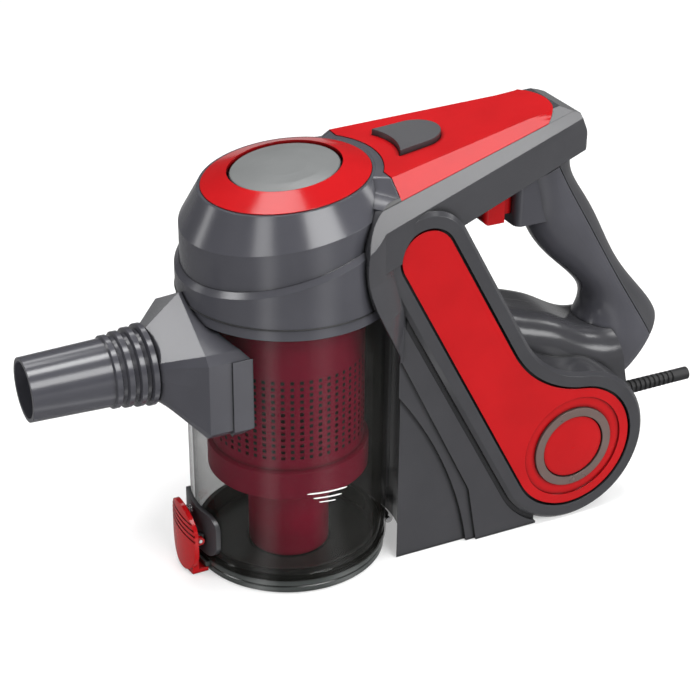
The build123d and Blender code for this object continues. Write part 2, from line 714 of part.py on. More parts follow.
def fan_blade():
    """Swept blade under the fan's back plate."""
    inner, outer = INTAKE_R - 6, FAN_R - 1
    back = Vector(0, -BLADE_T)
    arc = ThreePointArc((inner, 0), ((inner + outer) / 2, FAN_R / 8), (outer, FAN_R / 2.4))
    rear = ThreePointArc(arc @ 1 + back, arc @ 0.5 + back, arc @ 0 + back)
    face = make_face([arc, Line(arc @ 1, rear @ 0), rear, Line(rear @ 1, arc @ 0)])
    z0 = FAN_TOP_Z - FAN_H
    return extrude(Pos(0, 0, z0) * face, FAN_H - BLADE_T) & drum(outer, z0, FAN_TOP_Z)


def fan():
    """Impeller: a back plate with swept blades and a hub."""
    z0 = FAN_TOP_Z - FAN_H
    wheel = drum(FAN_R, FAN_TOP_Z - BLADE_T, FAN_TOP_Z) + drum(SHAFT_R + 3, z0, FAN_TOP_Z)
    blade = fan_blade()
    for index in range(FAN_BLADES):
        wheel += Rot(0, 0, 360 * index / FAN_BLADES) * blade
    return wheel - drum(SHAFT_R, z0 - 1, FAN_TOP_Z + 1)


def motor_shaft():
    return drum(SHAFT_R, FAN_TOP_Z - FAN_H - NUT_H, BRACKET_Z + BEARING_H)


def fan_nut():
    z1 = FAN_TOP_Z - FAN_H
    nut = extrude(Pos(0, 0, z1 - NUT_H) * RegularPolygon(SHAFT_R + 3, 6), NUT_H)
    return nut - drum(SHAFT_R, z1 - 2 * NUT_H, z1 + 1)


def motor_plate():
    """Diffuser plate over the fan, with the lower bearing seat and legs for the stator."""
    plate = drum(FAN_COVER_R, MOTOR_PLATE_Z, MOTOR_PLATE_Z + MOTOR_PLATE_T)
    plate += drum(BEARING_R + BEARING_SEAT, MOTOR_PLATE_Z, MOTOR_PLATE_Z + BEARING_H + 1)
    leg = block(STATOR_R - 5, STATOR_R + 3, -4, 4, MOTOR_PLATE_Z, STATOR_Z)
    for turn in range(45, 360, 90):
        plate += Rot(0, 0, turn) * leg
    plate -= drum(BEARING_R + FIT, MOTOR_PLATE_Z + 1, STATOR_Z + 5)
    plate -= drum(SHAFT_R + 1, MOTOR_PLATE_Z - 1, STATOR_Z)
    hole = Pos((BEARING_R + FAN_COVER_R) / 2, 0, MOTOR_PLATE_Z) * Cylinder(3.0, 4 * MOTOR_PLATE_T)
    return plate - [Rot(0, 0, turn) * hole for turn in range(0, 360, 45)]


def bearing(z0):
    """Ball bearing drawn as one ring on the shaft."""
    return tube(BEARING_R, SHAFT_R + RUN, z0, z0 + BEARING_H)


def stator_core():
    flat = STATOR_R - STATOR_FLAT
    body = drum(STATOR_R, STATOR_Z, STATOR_TOP_Z)
    body &= block(-STATOR_R, STATOR_R, -flat, flat, STATOR_Z, STATOR_TOP_Z)
    slots = block(-4, 4, -STATOR_BORE_R - 6, STATOR_BORE_R + 6, STATOR_Z, STATOR_TOP_Z)
    return body - drum(STATOR_BORE_R, STATOR_Z, STATOR_TOP_Z) - slots


def field_coils():
    """End turns of the two field coils, seated on the stator's top face."""
    ring = tube(STATOR_BORE_R + 11, STATOR_BORE_R + 2, STATOR_TOP_Z, STATOR_TOP_Z + COIL_H)
    return ring - block(-STATOR_R, STATOR_R, -8, 8, STATOR_Z, FAR)


def armature():
    core = tube(ARMATURE_R, SHAFT_R, STATOR_Z, STATOR_TOP_Z)
    slot = block(ARMATURE_R - 3, ARMATURE_R + 1, -1, 1, STATOR_Z, STATOR_TOP_Z)
    return core - [Rot(0, 0, 360 / ARMATURE_SLOTS * index) * slot for index in range(ARMATURE_SLOTS)]


def commutator():
    return tube(COMMUTATOR_R, SHAFT_R, STATOR_TOP_Z, BRACKET_Z - GAP)


def motor_bracket():
    """Crossbar over the stator with the upper bearing seat."""
    top = BRACKET_Z + MOTOR_PLATE_T
    arm = block(-STATOR_R, STATOR_R, -7, 7, BRACKET_Z, top)
    arm += drum(BEARING_R + BEARING_SEAT, BRACKET_Z, BRACKET_Z + BEARING_H - 0.5)
    for sign in (-1, 1):
        x0, x1 = sorted((sign * (STATOR_R - 3.5), sign * STATOR_R))
        arm += block(x0, x1, -6, 6, STATOR_TOP_Z, top)
    arm &= drum(STATOR_R, 0, FAR)
    return arm - drum(BEARING_R + FIT, BRACKET_Z - 1, BRACKET_Z + BEARING_H)


BRUSH_Z = STATOR_TOP_Z + COMMUTATOR_H / 2


def brushes():
    """Carbon brushes on the commutator."""
    pair = []
    for sign in (-1, 1):
        x0, x1 = sorted((sign * (COMMUTATOR_R + FIT), sign * (COMMUTATOR_R + BRUSH_L)))
        pair.append(block(x0, x1, -BRUSH_W / 2, BRUSH_W / 2, BRUSH_Z - BRUSH_H / 2, BRUSH_Z + BRUSH_H / 2))
    return pair


def brush_holders():
    """Sleeves of the brushes, screwed to the crossbar."""
    half, rise = BRUSH_W / 2, BRUSH_H / 2 + FIT
    pair = []
    for sign in (-1, 1):
        x0, x1 = sorted((sign * (COMMUTATOR_R + 4), sign * (STATOR_R - 4)))
        sleeve = block(x0, x1, -half - 1.5, half + 1.5, STATOR_TOP_Z + FIT, BRACKET_Z)
        pair.append(sleeve - block(-FAR, FAR, -half - FIT, half + FIT, BRUSH_Z - rise, BRUSH_Z + rise))
    return pair


# Frame

def along_arm(front, end, x):
    """Size of the arm at a distance along it, from its values at the front and at the end."""
    return front + (end - front) * x / ARM_L


def arm_top(x):
    """Height of the arm's top plane."""
    return TOP_Z + tan(TILT) * x


def arm_edge(x):
    """One side of the arm's cross-section, as (y, z) points from its foot up to its top."""
    side_y = along_arm(ARM_SIDE_FRONT, ARM_SIDE_END, x)
    return [
        (side_y, arm_top(x) - along_arm(ARM_H_FRONT, ARM_H_END, x)),
        (side_y, arm_top(x) - along_arm(STRIP_DROP_FRONT, STRIP_DROP_END, x)),
        (along_arm(ARM_BEVEL_FRONT, ARM_BEVEL_END, x),
         arm_top(x) - along_arm(BEVEL_DROP_FRONT, BEVEL_DROP_END, x)),
        (along_arm(ARM_TOP_FRONT, ARM_TOP_END, x), arm_top(x)),
    ]


def arm_face(x, half, inset):
    """Face across the arm from the points of one side."""
    outline = half + [(-y, z) for y, z in reversed(half)]
    face = make_face(Polyline(*outline, close=True))
    if inset:
        face = offset(face, -inset, kind=Kind.INTERSECTION)
    return Plane(origin=(x, 0, 0), x_dir=(0, 1, 0), z_dir=(1, 0, 0)) * face


def arm_roof():
    """Everything under the arm's top planes, with its side bevels carried on downwards."""
    faces = []
    for x in (0, ARM_L):
        foot, strip, bevel, top = arm_edge(x)
        reach = 4
        low = (strip[0] + reach * (strip[0] - bevel[0]), strip[1] - reach * (bevel[1] - strip[1]))
        faces.append(arm_face(x, [(low[0], -FAR), low, bevel, top], 0))
    return loft(faces, ruled=True)


def arm_end(inset):
    """Side and plan limits that round off the arm's rear end."""
    nose = [(-FAR, FAR)]
    for back, drop in ((24, -40), (19, 0.1), (8.5, 5.5), (0, 24), (4.5, 35.9), (26, 90)):
        nose.append((ARM_END_X - back, arm_top(ARM_END_X - back) - drop))
    nose = side(nose + [(-FAR, 0)])
    half = along_arm(ARM_SIDE_FRONT, ARM_SIDE_END, ARM_END_X) + 1
    wide = along_arm(ARM_SIDE_FRONT, ARM_SIDE_END, -PILLAR_X) + 1
    corners = [(-PILLAR_X, wide), (ARM_END_X, half), (ARM_END_X, -half), (-PILLAR_X, -wide)]
    plan = make_face(Polyline(*corners, close=True))
    plan = fillet(plan.vertices().group_by(Axis.X)[-1], ARM_END_CORNER)
    if inset:
        nose = offset(nose, -inset, kind=Kind.INTERSECTION)
        plan = offset(plan, -inset)
    return across(nose, FAR / 2) & extrude(plan, FAR)


def arm_form(inset):
    ends = [arm_face(x, arm_edge(x), inset) for x in (0, ARM_L)]
    return loft(ends, ruled=True) & arm_end(inset)


def pillar_profile():
    """Side view of the leaning pillar that runs into the round drum at its foot."""
    dx, dz = DRUM_X - PILLAR_X, DRUM_Z - PILLAR_Z
    span = (dx * dx + dz * dz) ** 0.5
    normal = atan2(dz, dx) - acos((PILLAR_R - DRUM_R) / span)
    lean = radians(PILLAR_LEAN)
    right = (cos(lean), sin(lean))
    down = (sin(lean), -cos(lean))
    reach = 0.75 * span
    top_right = (PILLAR_X + PILLAR_R * right[0], PILLAR_Z + PILLAR_R * right[1])
    foot_right = (top_right[0] + reach * down[0], top_right[1] + reach * down[1])
    quad = make_face(Polyline(
        (PILLAR_X + PILLAR_R * cos(normal), PILLAR_Z + PILLAR_R * sin(normal)),
        (DRUM_X + DRUM_R * cos(normal), DRUM_Z + DRUM_R * sin(normal)),
        (DRUM_X, DRUM_Z), foot_right, top_right, close=True))
    shape = quad + Pos(PILLAR_X, PILLAR_Z) * Circle(PILLAR_R) + Pos(DRUM_X, DRUM_Z) * Circle(DRUM_R)
    corner = shape.vertices().sort_by_distance((DRUM_X - 0.4 * DRUM_R, DRUM_Z + DRUM_R))[0]
    return fillet(corner, DRUM_FILLET)


PILLAR = pillar_profile()


def flank_face():
    """Side view of the pillar's front flank, which runs down to the skirt."""
    foot = DRUM_X - 1.28 * DRUM_R
    return side([(PILLAR_X - 25, PILLAR_Z - 27), (PILLAR_X - 16, PILLAR_Z - 49), (foot - 6, 34), (foot, 0),
                 (DRUM_X - 20, 0), (DRUM_X - 20, DRUM_Z), (PILLAR_X, PILLAR_Z)])


def valley_face():
    """Side view of the valley between the pillar's rim and its front flank."""
    top = PILLAR_Z - 8
    front = side([(0, top), (PILLAR_X, top), (DRUM_X - 20, DRUM_Z), (DRUM_X - 20, -5), (0, -5)])
    return (offset(PILLAR, VALLEY_W) - PILLAR) & front


def skirt_face():
    """Side view of the skirt between the cup and the pillar."""
    return side([(PILLAR_X - 25, 0), (DRUM_X - 36, 0), (DRUM_X - 36, DRUM_Z), (PILLAR_X, PILLAR_Z - 20),
                 (PILLAR_X - 25, PILLAR_Z - 20)])


def scoop_face():
    """Side view of the hollow in the skirt's lower front."""
    foot = DRUM_X - 1.4 * DRUM_R
    edge = Spline((PILLAR_X - 20, PILLAR_Z - 68), (PILLAR_X, PILLAR_Z - 96), (foot - 14, 49), (foot, 0))
    return make_face([edge, Polyline(edge @ 1, (foot, -5), (PILLAR_X - 30, -5),
                                     (PILLAR_X - 30, PILLAR_Z - 68), edge @ 0)])


def saddle():
    """Crowned bridge between the pillar's back, the drum and the grip's foot."""
    crown = Spline((DRUM_X - 42, DRUM_Z + 84), (DRUM_X - 20, DRUM_Z + 73), (DRUM_X + 4, DRUM_Z + 64),
                   (DRUM_X + 20, DRUM_Z + 55), (DRUM_X + 40, DRUM_Z + 50))
    face = make_face([crown, Polyline(crown @ 1, (DRUM_X + 48, DRUM_Z + 10), (DRUM_X + 30, DRUM_Z - 10),
                                      (DRUM_X - 42, DRUM_Z), crown @ 0)])
    form = across(face, SADDLE_HALF_W)
    return fillet(form.edges().filter_by(GeomType.BSPLINE), SADDLE_FILLET)


def front_limit():
    """Everything behind the seam where the frame clasps the motor head."""
    seam_x = PILLAR_X - 15
    seam = Spline((seam_x, TOP_Z - 2), (seam_x - 15.8, TOP_Z - 8.7), (seam_x - 22.7, TOP_Z - 31),
                  (seam_x - 14.3, HEAD_BASE_Z - 4.5), (seam_x, HEAD_BASE_Z - 30))
    rest = Polyline(seam @ 1, (seam_x, -5), (FAR, -5), (FAR, FAR), (seam_x, FAR), seam @ 0)
    face = make_face([seam, rest])
    return across(face, FAR / 2)


def sleeve():
    """Wall that clasps the back of the head and of the cup, up to the arm's bevels."""
    foot_r = FRAME_FRONT_R + SLEEVE_FOOT
    wall = turned([(0, 0), (foot_r, 0), (foot_r, HEAD_BASE_Z - 4), (SLEEVE_R, HEAD_BASE_Z + 16),
                   (SLEEVE_R, TOP_Z + SLEEVE_R), (0, TOP_Z + SLEEVE_R)])
    return wall & arm_roof() & block(0, PILLAR_X + SLEEVE_LAP, -FAR, FAR, HEAD_BASE_Z - SLEEVE_DROP, FAR)


def cup_space():
    """Room for the cup, its collar, and the head with its clearance."""
    return head_form(-GAP) + drum(FRAME_FRONT_R, -1, HEAD_BASE_Z + GAP)


def cover_plane():
    """Plane through the two edges where the arm's cover meets the frame."""
    rise = tan(TILT) * ARM_L + BEVEL_DROP_FRONT - BEVEL_DROP_END
    angle = atan2(rise, ARM_L)
    return Plane(origin=(0, 0, TOP_Z - BEVEL_DROP_FRONT), x_dir=(cos(angle), 0, sin(angle)),
                 z_dir=(-sin(angle), 0, cos(angle)))


def cover_space():
    """Room of the arm's cover: above its plane, with round corners before the arm's end."""
    front = ARM_BEVEL_FRONT + 1
    back = along_arm(ARM_BEVEL_FRONT, ARM_BEVEL_END, COVER_END_X) + 1
    corners = [(0, front), (COVER_END_X, back), (COVER_END_X, -back), (0, -front)]
    plan = make_face(Polyline(*corners, close=True))
    plan = fillet(plan.vertices().group_by(Axis.X)[-1], COVER_CORNER)
    return extrude(plan, FAR) - below(cover_plane())


def arm_cover():
    cap = (arm_form(0) & cover_space()) - arm_form(COVER_T)
    cap -= head_form(-GAP) + TOP * drum(COVER_NOTCH_R, -FAR / 8, FAR / 8)
    cap &= front_limit()
    return cap - button_hole(GAP)


def button_outline():
    """Plan of the release button: hollow front edge and round rear end."""
    front = ThreePointArc((BUTTON_X0, -BUTTON_HALF_W), (BUTTON_X0 + 3.5, 0), (BUTTON_X0, BUTTON_HALF_W))
    tail_x, tail_y = BUTTON_X1 - 12, BUTTON_HALF_W - 1.5
    rear = ThreePointArc((tail_x, tail_y), (BUTTON_X1, 0), (tail_x, -tail_y))
    return make_face([front, Line(front @ 1, rear @ 0), rear, Line(rear @ 1, front @ 0)])


def button_hole(clear):
    return extrude(offset(button_outline(), clear), FAR)


def release_button():
    key = extrude(button_outline(), FAR) & below(TOP.offset(BUTTON_RISE))
    key -= below(TOP.offset(-BUTTON_FOOT))
    stem = drum(ROD_R + 2, ROD_COLLAR_Z + ROD_COLLAR_T, arm_top(ROD_X) - COVER_T)
    key += Pos(ROD_X, 0, 0) * stem
    return key - Pos(ROD_X, 0, 0) * drum(ROD_R, 0, TOP_Z)


def button_well():
    """Room in the frame for the button's foot over its travel."""
    return button_hole(GAP) - below(TOP.offset(-BUTTON_FOOT - BUTTON_TRAVEL - GAP))


def latch_ramp(x, lift):
    """Height of the cup latch's ramp at x, plus a normal lift."""
    return CUP_LATCH_TOP_Z + x - RAMP_X + lift * 2 ** 0.5


def release_rod():
    """Rod under the button with a slanted foot for the latch's ramp and a collar for its spring."""
    reach = 3 * ROD_R
    x0, x1 = ROD_X - reach, ROD_X + reach
    rod = Pos(ROD_X, 0, 0) * drum(ROD_R, CUP_LATCH_Z, TOP_Z)
    wedge = side([(x0, latch_ramp(x0, GAP)), (x1, latch_ramp(x1, GAP)), (x1, 0), (x0, 0)])
    collar = Pos(ROD_X, 0, 0) * drum(ROD_R + ROD_COLLAR_W, ROD_COLLAR_Z, ROD_COLLAR_Z + ROD_COLLAR_T)
    return rod - across(wedge, reach) + collar


def release_spring():
    z0 = ROD_GUIDE_Z + WALL + FIT
    return Pos(ROD_X, 0, z0) * spring(SPRING_R, SPRING_WIRE, ROD_COLLAR_Z - FIT - z0, 5)


def cup_latch():
    """Sliding bolt with a ramp for the rod."""
    x0 = COLLAR_R + GAP
    top = CUP_LATCH_TOP_Z
    nose = 1.5
    head = top + CUP_LATCH_RAMP
    face = side([(x0, CUP_LATCH_Z), (CUP_LATCH_BACK, CUP_LATCH_Z), (CUP_LATCH_BACK, head),
                 (RAMP_X + CUP_LATCH_RAMP, head), (RAMP_X, top), (x0 + nose, top), (x0, top - nose)])
    return across(face, CUP_LATCH_HALF_W)


def latch_return_spring():
    z = CUP_LATCH_TOP_Z + CUP_LATCH_RAMP / 2
    coil = spring(LATCH_SPRING_R, FINE_WIRE, STOP_X - CUP_LATCH_BACK - 2 * FIT, 4)
    return Pos(CUP_LATCH_BACK + FIT, 0, z) * Rot(0, 90, 0) * coil


def screw_places():
    """Side-view places of the case screws, with the half width of the case there."""
    arm_half = along_arm(ARM_SIDE_FRONT, ARM_SIDE_END, ARM_SCREW_X)
    return [(PILLAR_X + 12, 22, SCOOP_HALF_W), (DRUM_X - 44, 8, FLANK_HALF_W),
            (ARM_SCREW_X, arm_top(ARM_SCREW_X) - 17, arm_half)]


def frame_outer():
    rim = across(PILLAR, RIM_HALF_W)
    cheeks = rim.faces().sort_by(Axis.Y)
    rim = chamfer(cheeks[0].edges() + cheeks[-1].edges(), RIM_CHAMFER)
    body = across(flank_face(), FLANK_HALF_W) + across(skirt_face(), SKIRT_HALF_W)
    for face, half in ((scoop_face(), SCOOP_HALF_W), (valley_face(), FLANK_HALF_W - VALLEY_DEPTH)):
        body -= layer(face, half, FAR / 2)
        body -= layer(face, -FAR / 2, -half)
    body += rim + arm_form(0) + sleeve() + saddle()
    return (body & front_limit()) - cup_space()


def frame_inner():
    """Hollow of the frame."""
    core = across(offset(PILLAR, -WALL), POCKET_FLOOR - WALL)
    core += across(offset(skirt_face(), -WALL, kind=Kind.INTERSECTION), SCOOP_HALF_W - WALL)
    core += arm_form(WALL)
    return core - drum(FRAME_FRONT_R + WALL, -1, FAR)


def frame_fittings():
    """Ribs inside the frame: rod guide, latch shelf and stop, suppressor shelf, screw bosses."""
    wide = POCKET_FLOOR
    guide_r = ROD_R + GAP
    ribs = block(ROD_X - 3 * guide_r, ROD_X + 1.4 * guide_r, -wide, wide, ROD_GUIDE_Z, ROD_GUIDE_Z + WALL)
    shelf_z = CUP_LATCH_Z - GAP
    ribs += block(FRAME_FRONT_R + 1, STOP_X + RIB_T, -wide, wide, shelf_z - WALL, shelf_z)
    ribs += block(STOP_X, STOP_X + RIB_T, -wide, wide, shelf_z - WALL, CUP_LATCH_TOP_Z + 2 * CUP_LATCH_RAMP)
    ribs += block(DRUM_X - 20, DRUM_X + 30, -wide, wide, CORD_Z - SHELF_DROP - RIB_T, CORD_Z - SHELF_DROP)
    seat = BOOT_FLANGE_R + 1.5
    ribs += block(BOOT_SEAT_X - RIB_T, BOOT_SEAT_X + DRUM_R, -seat, seat, CORD_Z - seat, CORD_Z + seat)
    for x, z, half in screw_places():
        ribs += bar(x, z, BOSS_R, 1 - half, half - 1)
    return ribs


def frame():
    body = frame_outer() - (frame_inner() - frame_fittings())
    pocket = offset(PILLAR, -POCKET_INSET)
    body -= layer(pocket, POCKET_FLOOR, FAR / 2)
    body -= layer(pocket, -FAR / 2, -POCKET_FLOOR)
    body -= cover_space() + button_well()
    way = CUP_LATCH_HALF_W + GAP
    way_top = CUP_LATCH_TOP_Z + CUP_LATCH_RAMP + GAP
    body -= block(FRAME_FRONT_R - 1, STOP_X, -way, way, CUP_LATCH_Z - GAP, way_top)
    body -= Pos(ROD_X, 0, 0) * drum(ROD_R + GAP, CUP_LATCH_Z, TOP_Z)
    body -= rod_x(CORD_Z, BOOT_R + FIT, BOOT_SEAT_X - BOOT_SINK, FAR)
    body -= rod_x(CORD_Z, BOOT_FLANGE_R + FIT, BOOT_SEAT_X - BOOT_SINK, BOOT_SEAT_X)
    for x, z, half in screw_places():
        body -= bar(x, z, SCREW_R + FIT, SCREW_SINK + 2 - half, half + 1)
        body -= bar(x, z, SCREW_HEAD_R + FIT, half - SCREW_SINK, FAR)
    return body


def case_screws():
    screws = []
    for x, z, half in screw_places():
        seat = half - SCREW_SINK
        head = bar(x, z, SCREW_HEAD_R, seat, seat + SCREW_HEAD_T)
        screws.append(head + bar(x, z, SCREW_R, SCREW_SINK + 2 - half, seat))
    return screws


# Side trim

def side_panel():
    """Panel in the pocket of one side, facing -Y, with a dished seat on the drum."""
    front = -POCKET_FLOOR - PANEL_T
    plate = layer(offset(PILLAR, -POCKET_INSET - PANEL_GAP), front, -POCKET_FLOOR)
    dish = bar(DRUM_X, DRUM_Z, RING_R + DISH_W, front - 1, front + DISH_DEPTH)
    return plate - dish - bar(DRUM_X, DRUM_Z, RING_R + FIT, -FAR, 0)


def side_ring():
    ring = bar(DRUM_X, DRUM_Z, RING_R, -POCKET_FLOOR - RING_T, -POCKET_FLOOR)
    return ring - bar(DRUM_X, DRUM_Z, RING_IN_R, -FAR, 0)


def side_cap():
    """Domed cap inside the ring, facing -Y."""
    radius = RING_IN_R - FIT
    dome = turned([
        (0, 0), (radius, 0), (radius, CAP_T - CAP_CROWN), (radius - CAP_CROWN, CAP_T),
        (0.6 * radius, CAP_T + 0.7 * CAP_CROWN), (0, CAP_T + CAP_CROWN),
    ])
    return Pos(DRUM_X, -POCKET_FLOOR, DRUM_Z) * Rot(90, 0, 0) * dome


# Grip and trigger

GRIP_STATIONS = [
    # centre x, centre z, lean from upright, half depth, half width
    (146.5, 196, 26, 17.0, 15.5),
    (158.8, 162, 32, 18.0, 15.5),
    (171.0, 145, 36, 16.2, 15.0),
    (188.5, 121, 30, 13.0, 14.5),
    (198.0, 98, 6, 24.0, 17.5),
    (190.0, 70, -20, 24.0, 20.0),
]


def grip_heel():
    """Everything behind the slanted cut under the grip's heel."""
    lean = radians(HEEL_LEAN)
    return below(Plane(origin=(HEEL_X, 0, HEEL_Z), x_dir=(0, 1, 0), z_dir=(-cos(lean), 0, sin(lean))))


def grip_form():
    """Oval grip lofted through its stations, with a square block at its top for the trigger."""
    sections = []
    for x, z, lean, depth, width in GRIP_STATIONS:
        angle = radians(lean)
        deep = (cos(angle), 0, sin(angle))
        plane = Plane(origin=(x, 0, z), x_dir=deep, z_dir=(sin(angle), 0, -cos(angle)))
        sections.append(plane * Ellipse(depth, width))
    holder = block(GRIP_BLOCK_X, GRIP_STATIONS[0][0] + 8, -GRIP_BLOCK_HALF_W, GRIP_BLOCK_HALF_W,
                   GRIP_BLOCK_BASE_Z, GRIP_STATIONS[0][1] + 4)
    holder = fillet(holder.edges().filter_by(Axis.Z).group_by(Axis.X)[0], 4)
    return loft(sections) - grip_heel() + holder


def grip_strip_plane():
    """Plane of the seam between the grip and its rear strip."""
    x, z, lean, depth, width = GRIP_STATIONS[1]
    angle = radians(GRIP_SEAM_LEAN)
    reach = depth - GRIP_SEAM
    return Plane(origin=(x + reach * cos(angle), 0, z + reach * sin(angle)), x_dir=(0, 1, 0),
                 z_dir=(-cos(angle), 0, -sin(angle)))


def stem_bar(x0, x1, clear):
    """Bar along the trigger's stem, with a clearance round it."""
    half = STEM_HALF_W + clear
    return block(x0, x1, -half, half, STEM_BASE_Z - clear, STEM_BASE_Z + STEM_H + clear)


def trigger_way():
    return stem_bar(GRIP_BLOCK_X - 1, SWITCH_X + SWITCH_L, GAP)


def trigger():
    head = block(TRIGGER_X, TRIGGER_X + TRIGGER_HEAD, -TRIGGER_HALF_W, TRIGGER_HALF_W,
                 TRIGGER_BASE_Z, TRIGGER_BASE_Z + TRIGGER_H)
    head = fillet(head.edges().group_by(Axis.X)[0], TRIGGER_ROUND)
    return head + stem_bar(TRIGGER_X + TRIGGER_HEAD - 1, STEM_END_X, 0)


def trigger_spring():
    coil = spring(TRIGGER_SPRING_R, FINE_WIRE, SWITCH_X - STEM_END_X - 2 * FIT, 3)
    return Pos(STEM_END_X + FIT, 0, STEM_BASE_Z + STEM_H / 2) * Rot(0, 90, 0) * coil


def switch():
    return stem_bar(SWITCH_X, SWITCH_X + SWITCH_L - FIT, 0)


# Strain relief and electrics in the drum

def strain_relief():
    """Ribbed boot with a flange inside the drum."""
    start = DRUM_X + DRUM_R + BOOT_BARE
    pitch = (BOOT_END_X - BOOT_PLAIN - start) / BOOT_RIBS
    outline = [(BOOT_BORE_R, BOOT_SEAT_X - BOOT_FLANGE_T), (BOOT_FLANGE_R, BOOT_SEAT_X - BOOT_FLANGE_T),
               (BOOT_FLANGE_R, BOOT_SEAT_X), (BOOT_R, BOOT_SEAT_X)]
    for index in range(BOOT_RIBS):
        x = start + index * pitch
        radius = BOOT_R + (BOOT_END_R - BOOT_R) * index / BOOT_RIBS
        outline += [(radius, x), (radius, x + 0.5 * pitch), (radius - BOOT_RIB_DEPTH, x + 0.65 * pitch),
                    (radius - BOOT_RIB_DEPTH, x + 0.85 * pitch)]
    outline += [(BOOT_END_R, BOOT_END_X - BOOT_PLAIN), (BOOT_END_R, BOOT_END_X), (BOOT_BORE_R, BOOT_END_X)]
    return Pos(0, 0, CORD_Z) * Rot(0, 90, 0) * turned(outline)


def capacitor():
    """Interference suppressor standing on its shelf."""
    x0, z0 = DRUM_X + 2, CORD_Z - SHELF_DROP
    body = block(x0 - SUPPRESSOR_L, x0, -2 * SUPPRESSOR_W, -SUPPRESSOR_W, z0, z0 + SUPPRESSOR_H)
    return fillet(body.edges().filter_by(Axis.Z), 2)


# Assembly

def halves(body):
    left = split(body, Plane.XZ, keep=Keep.TOP)
    right = split(body, Plane.XZ, keep=Keep.BOTTOM)
    return left, right


def build():
    case = frame()
    left, right = halves(case)
    solid_frame = frame_outer()
    grip_all = grip_form() - solid_frame
    behind = below(grip_strip_plane())
    seam = below(grip_strip_plane().offset(0.4))
    grip = grip_all - seam - trigger_way()
    strip = grip_all & behind
    nodes = {
        "frame_left": left, "frame_right": right, "head_shell": head_shell(), "top_ring": top_ring(),
        "top_disc": top_disc(), "arm_cover": arm_cover(), "grip": grip, "grip_back": strip,
        "side_panel_left": side_panel(), "side_panel_right": mirror(side_panel(), Plane.XZ),
        "side_ring_left": side_ring(), "side_ring_right": mirror(side_ring(), Plane.XZ),
        "side_cap_left": side_cap(), "side_cap_right": mirror(side_cap(), Plane.XZ),
        "strain_relief": strain_relief(), "capacitor": capacitor(), "switch": switch(),
        "trigger": trigger(), "trigger_spring": trigger_spring(),
        "release_button": release_button(), "release_rod": release_rod(), "release_spring": release_spring(),
        "cup_latch": cup_latch(), "cup_latch_spring": latch_return_spring(), "case_screws": case_screws(),
        "motor_deck": motor_deck(), "motor_ring": motor_ring(), "fan_cover": fan_cover(), "fan": fan(),
        "motor_shaft": motor_shaft(), "fan_nut": fan_nut(), "motor_plate": motor_plate(),
        "lower_bearing": bearing(MOTOR_PLATE_Z + 1), "upper_bearing": bearing(BRACKET_Z),
        "stator_core": stator_core(), "field_coils": field_coils(),
        "armature": armature(), "commutator": commutator(), "motor_bracket": motor_bracket(),
        "brushes": brushes(), "brush_holders": brush_holders(),
        "dust_cup": dust_cup(), "cup_collar": cup_collar(), "cup_seal": cup_seal(), "cup_lid": cup_lid(),
        "lid_seal": lid_seal(), "lid_hinge_pin": hinge_pin(), "lid_latch": lid_latch(),
        "latch_bracket": latch_bracket(), "latch_pin": latch_pin(),
        "latch_spring": latch_spring(), "cyclone_shroud": cyclone_shroud(), "dust_tube": dust_tube(),
        "filter_frame": filter_frame(), "filter_pleats": filter_pleats(), "inlet_duct": inlet_duct(),
        "inlet_spigot": inlet_spigot(),
    }
    os.makedirs("parts", exist_ok=True)
    for name, shape in nodes.items():
        solids = shape if isinstance(shape, list) else [shape]
        pieces = [solid for piece in solids for solid in piece.solids()]
        export_step(Compound(children=pieces) if len(pieces) > 1 else pieces[0], f"parts/{name}.step")
        print(name, len(pieces))


build()
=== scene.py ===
from math import acos, atan2, cos, pi, radians, sin, tan

import bmesh
import bpy
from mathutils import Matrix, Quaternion, Vector


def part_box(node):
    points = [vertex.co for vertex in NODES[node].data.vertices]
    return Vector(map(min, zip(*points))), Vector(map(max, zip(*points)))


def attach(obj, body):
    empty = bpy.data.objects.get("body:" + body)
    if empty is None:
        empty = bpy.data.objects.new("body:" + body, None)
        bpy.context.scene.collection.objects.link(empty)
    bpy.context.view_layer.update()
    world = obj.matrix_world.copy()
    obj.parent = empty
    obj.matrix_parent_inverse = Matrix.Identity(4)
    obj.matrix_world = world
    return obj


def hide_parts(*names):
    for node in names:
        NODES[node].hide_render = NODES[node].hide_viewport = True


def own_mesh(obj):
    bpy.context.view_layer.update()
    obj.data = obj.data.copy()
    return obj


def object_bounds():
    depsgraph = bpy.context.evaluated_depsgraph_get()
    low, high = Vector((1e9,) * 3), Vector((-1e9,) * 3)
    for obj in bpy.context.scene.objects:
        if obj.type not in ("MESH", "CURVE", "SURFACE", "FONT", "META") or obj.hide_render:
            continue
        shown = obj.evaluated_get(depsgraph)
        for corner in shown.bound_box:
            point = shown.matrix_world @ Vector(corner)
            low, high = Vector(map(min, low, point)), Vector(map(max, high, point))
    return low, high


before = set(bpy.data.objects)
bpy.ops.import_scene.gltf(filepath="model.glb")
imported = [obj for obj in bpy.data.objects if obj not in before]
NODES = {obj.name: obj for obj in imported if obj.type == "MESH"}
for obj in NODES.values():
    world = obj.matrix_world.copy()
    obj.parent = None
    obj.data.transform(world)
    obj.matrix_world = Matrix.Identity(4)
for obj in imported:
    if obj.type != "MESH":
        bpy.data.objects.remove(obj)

CAD_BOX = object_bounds()
MM = 0.001

# Camera of the photograph
CAMERA_PLACE = (-0.3257, -0.7288, 0.5473)
CAMERA_AZIMUTH = -26.39
CAMERA_ELEVATION = 28.40
CAMERA_ROLL = 0.605
CAMERA_CLIP = (0.01, 50)
FOCAL_PIXELS = 1768.4
IMAGE_PIXELS = 700
SENSOR_MM = 36.0

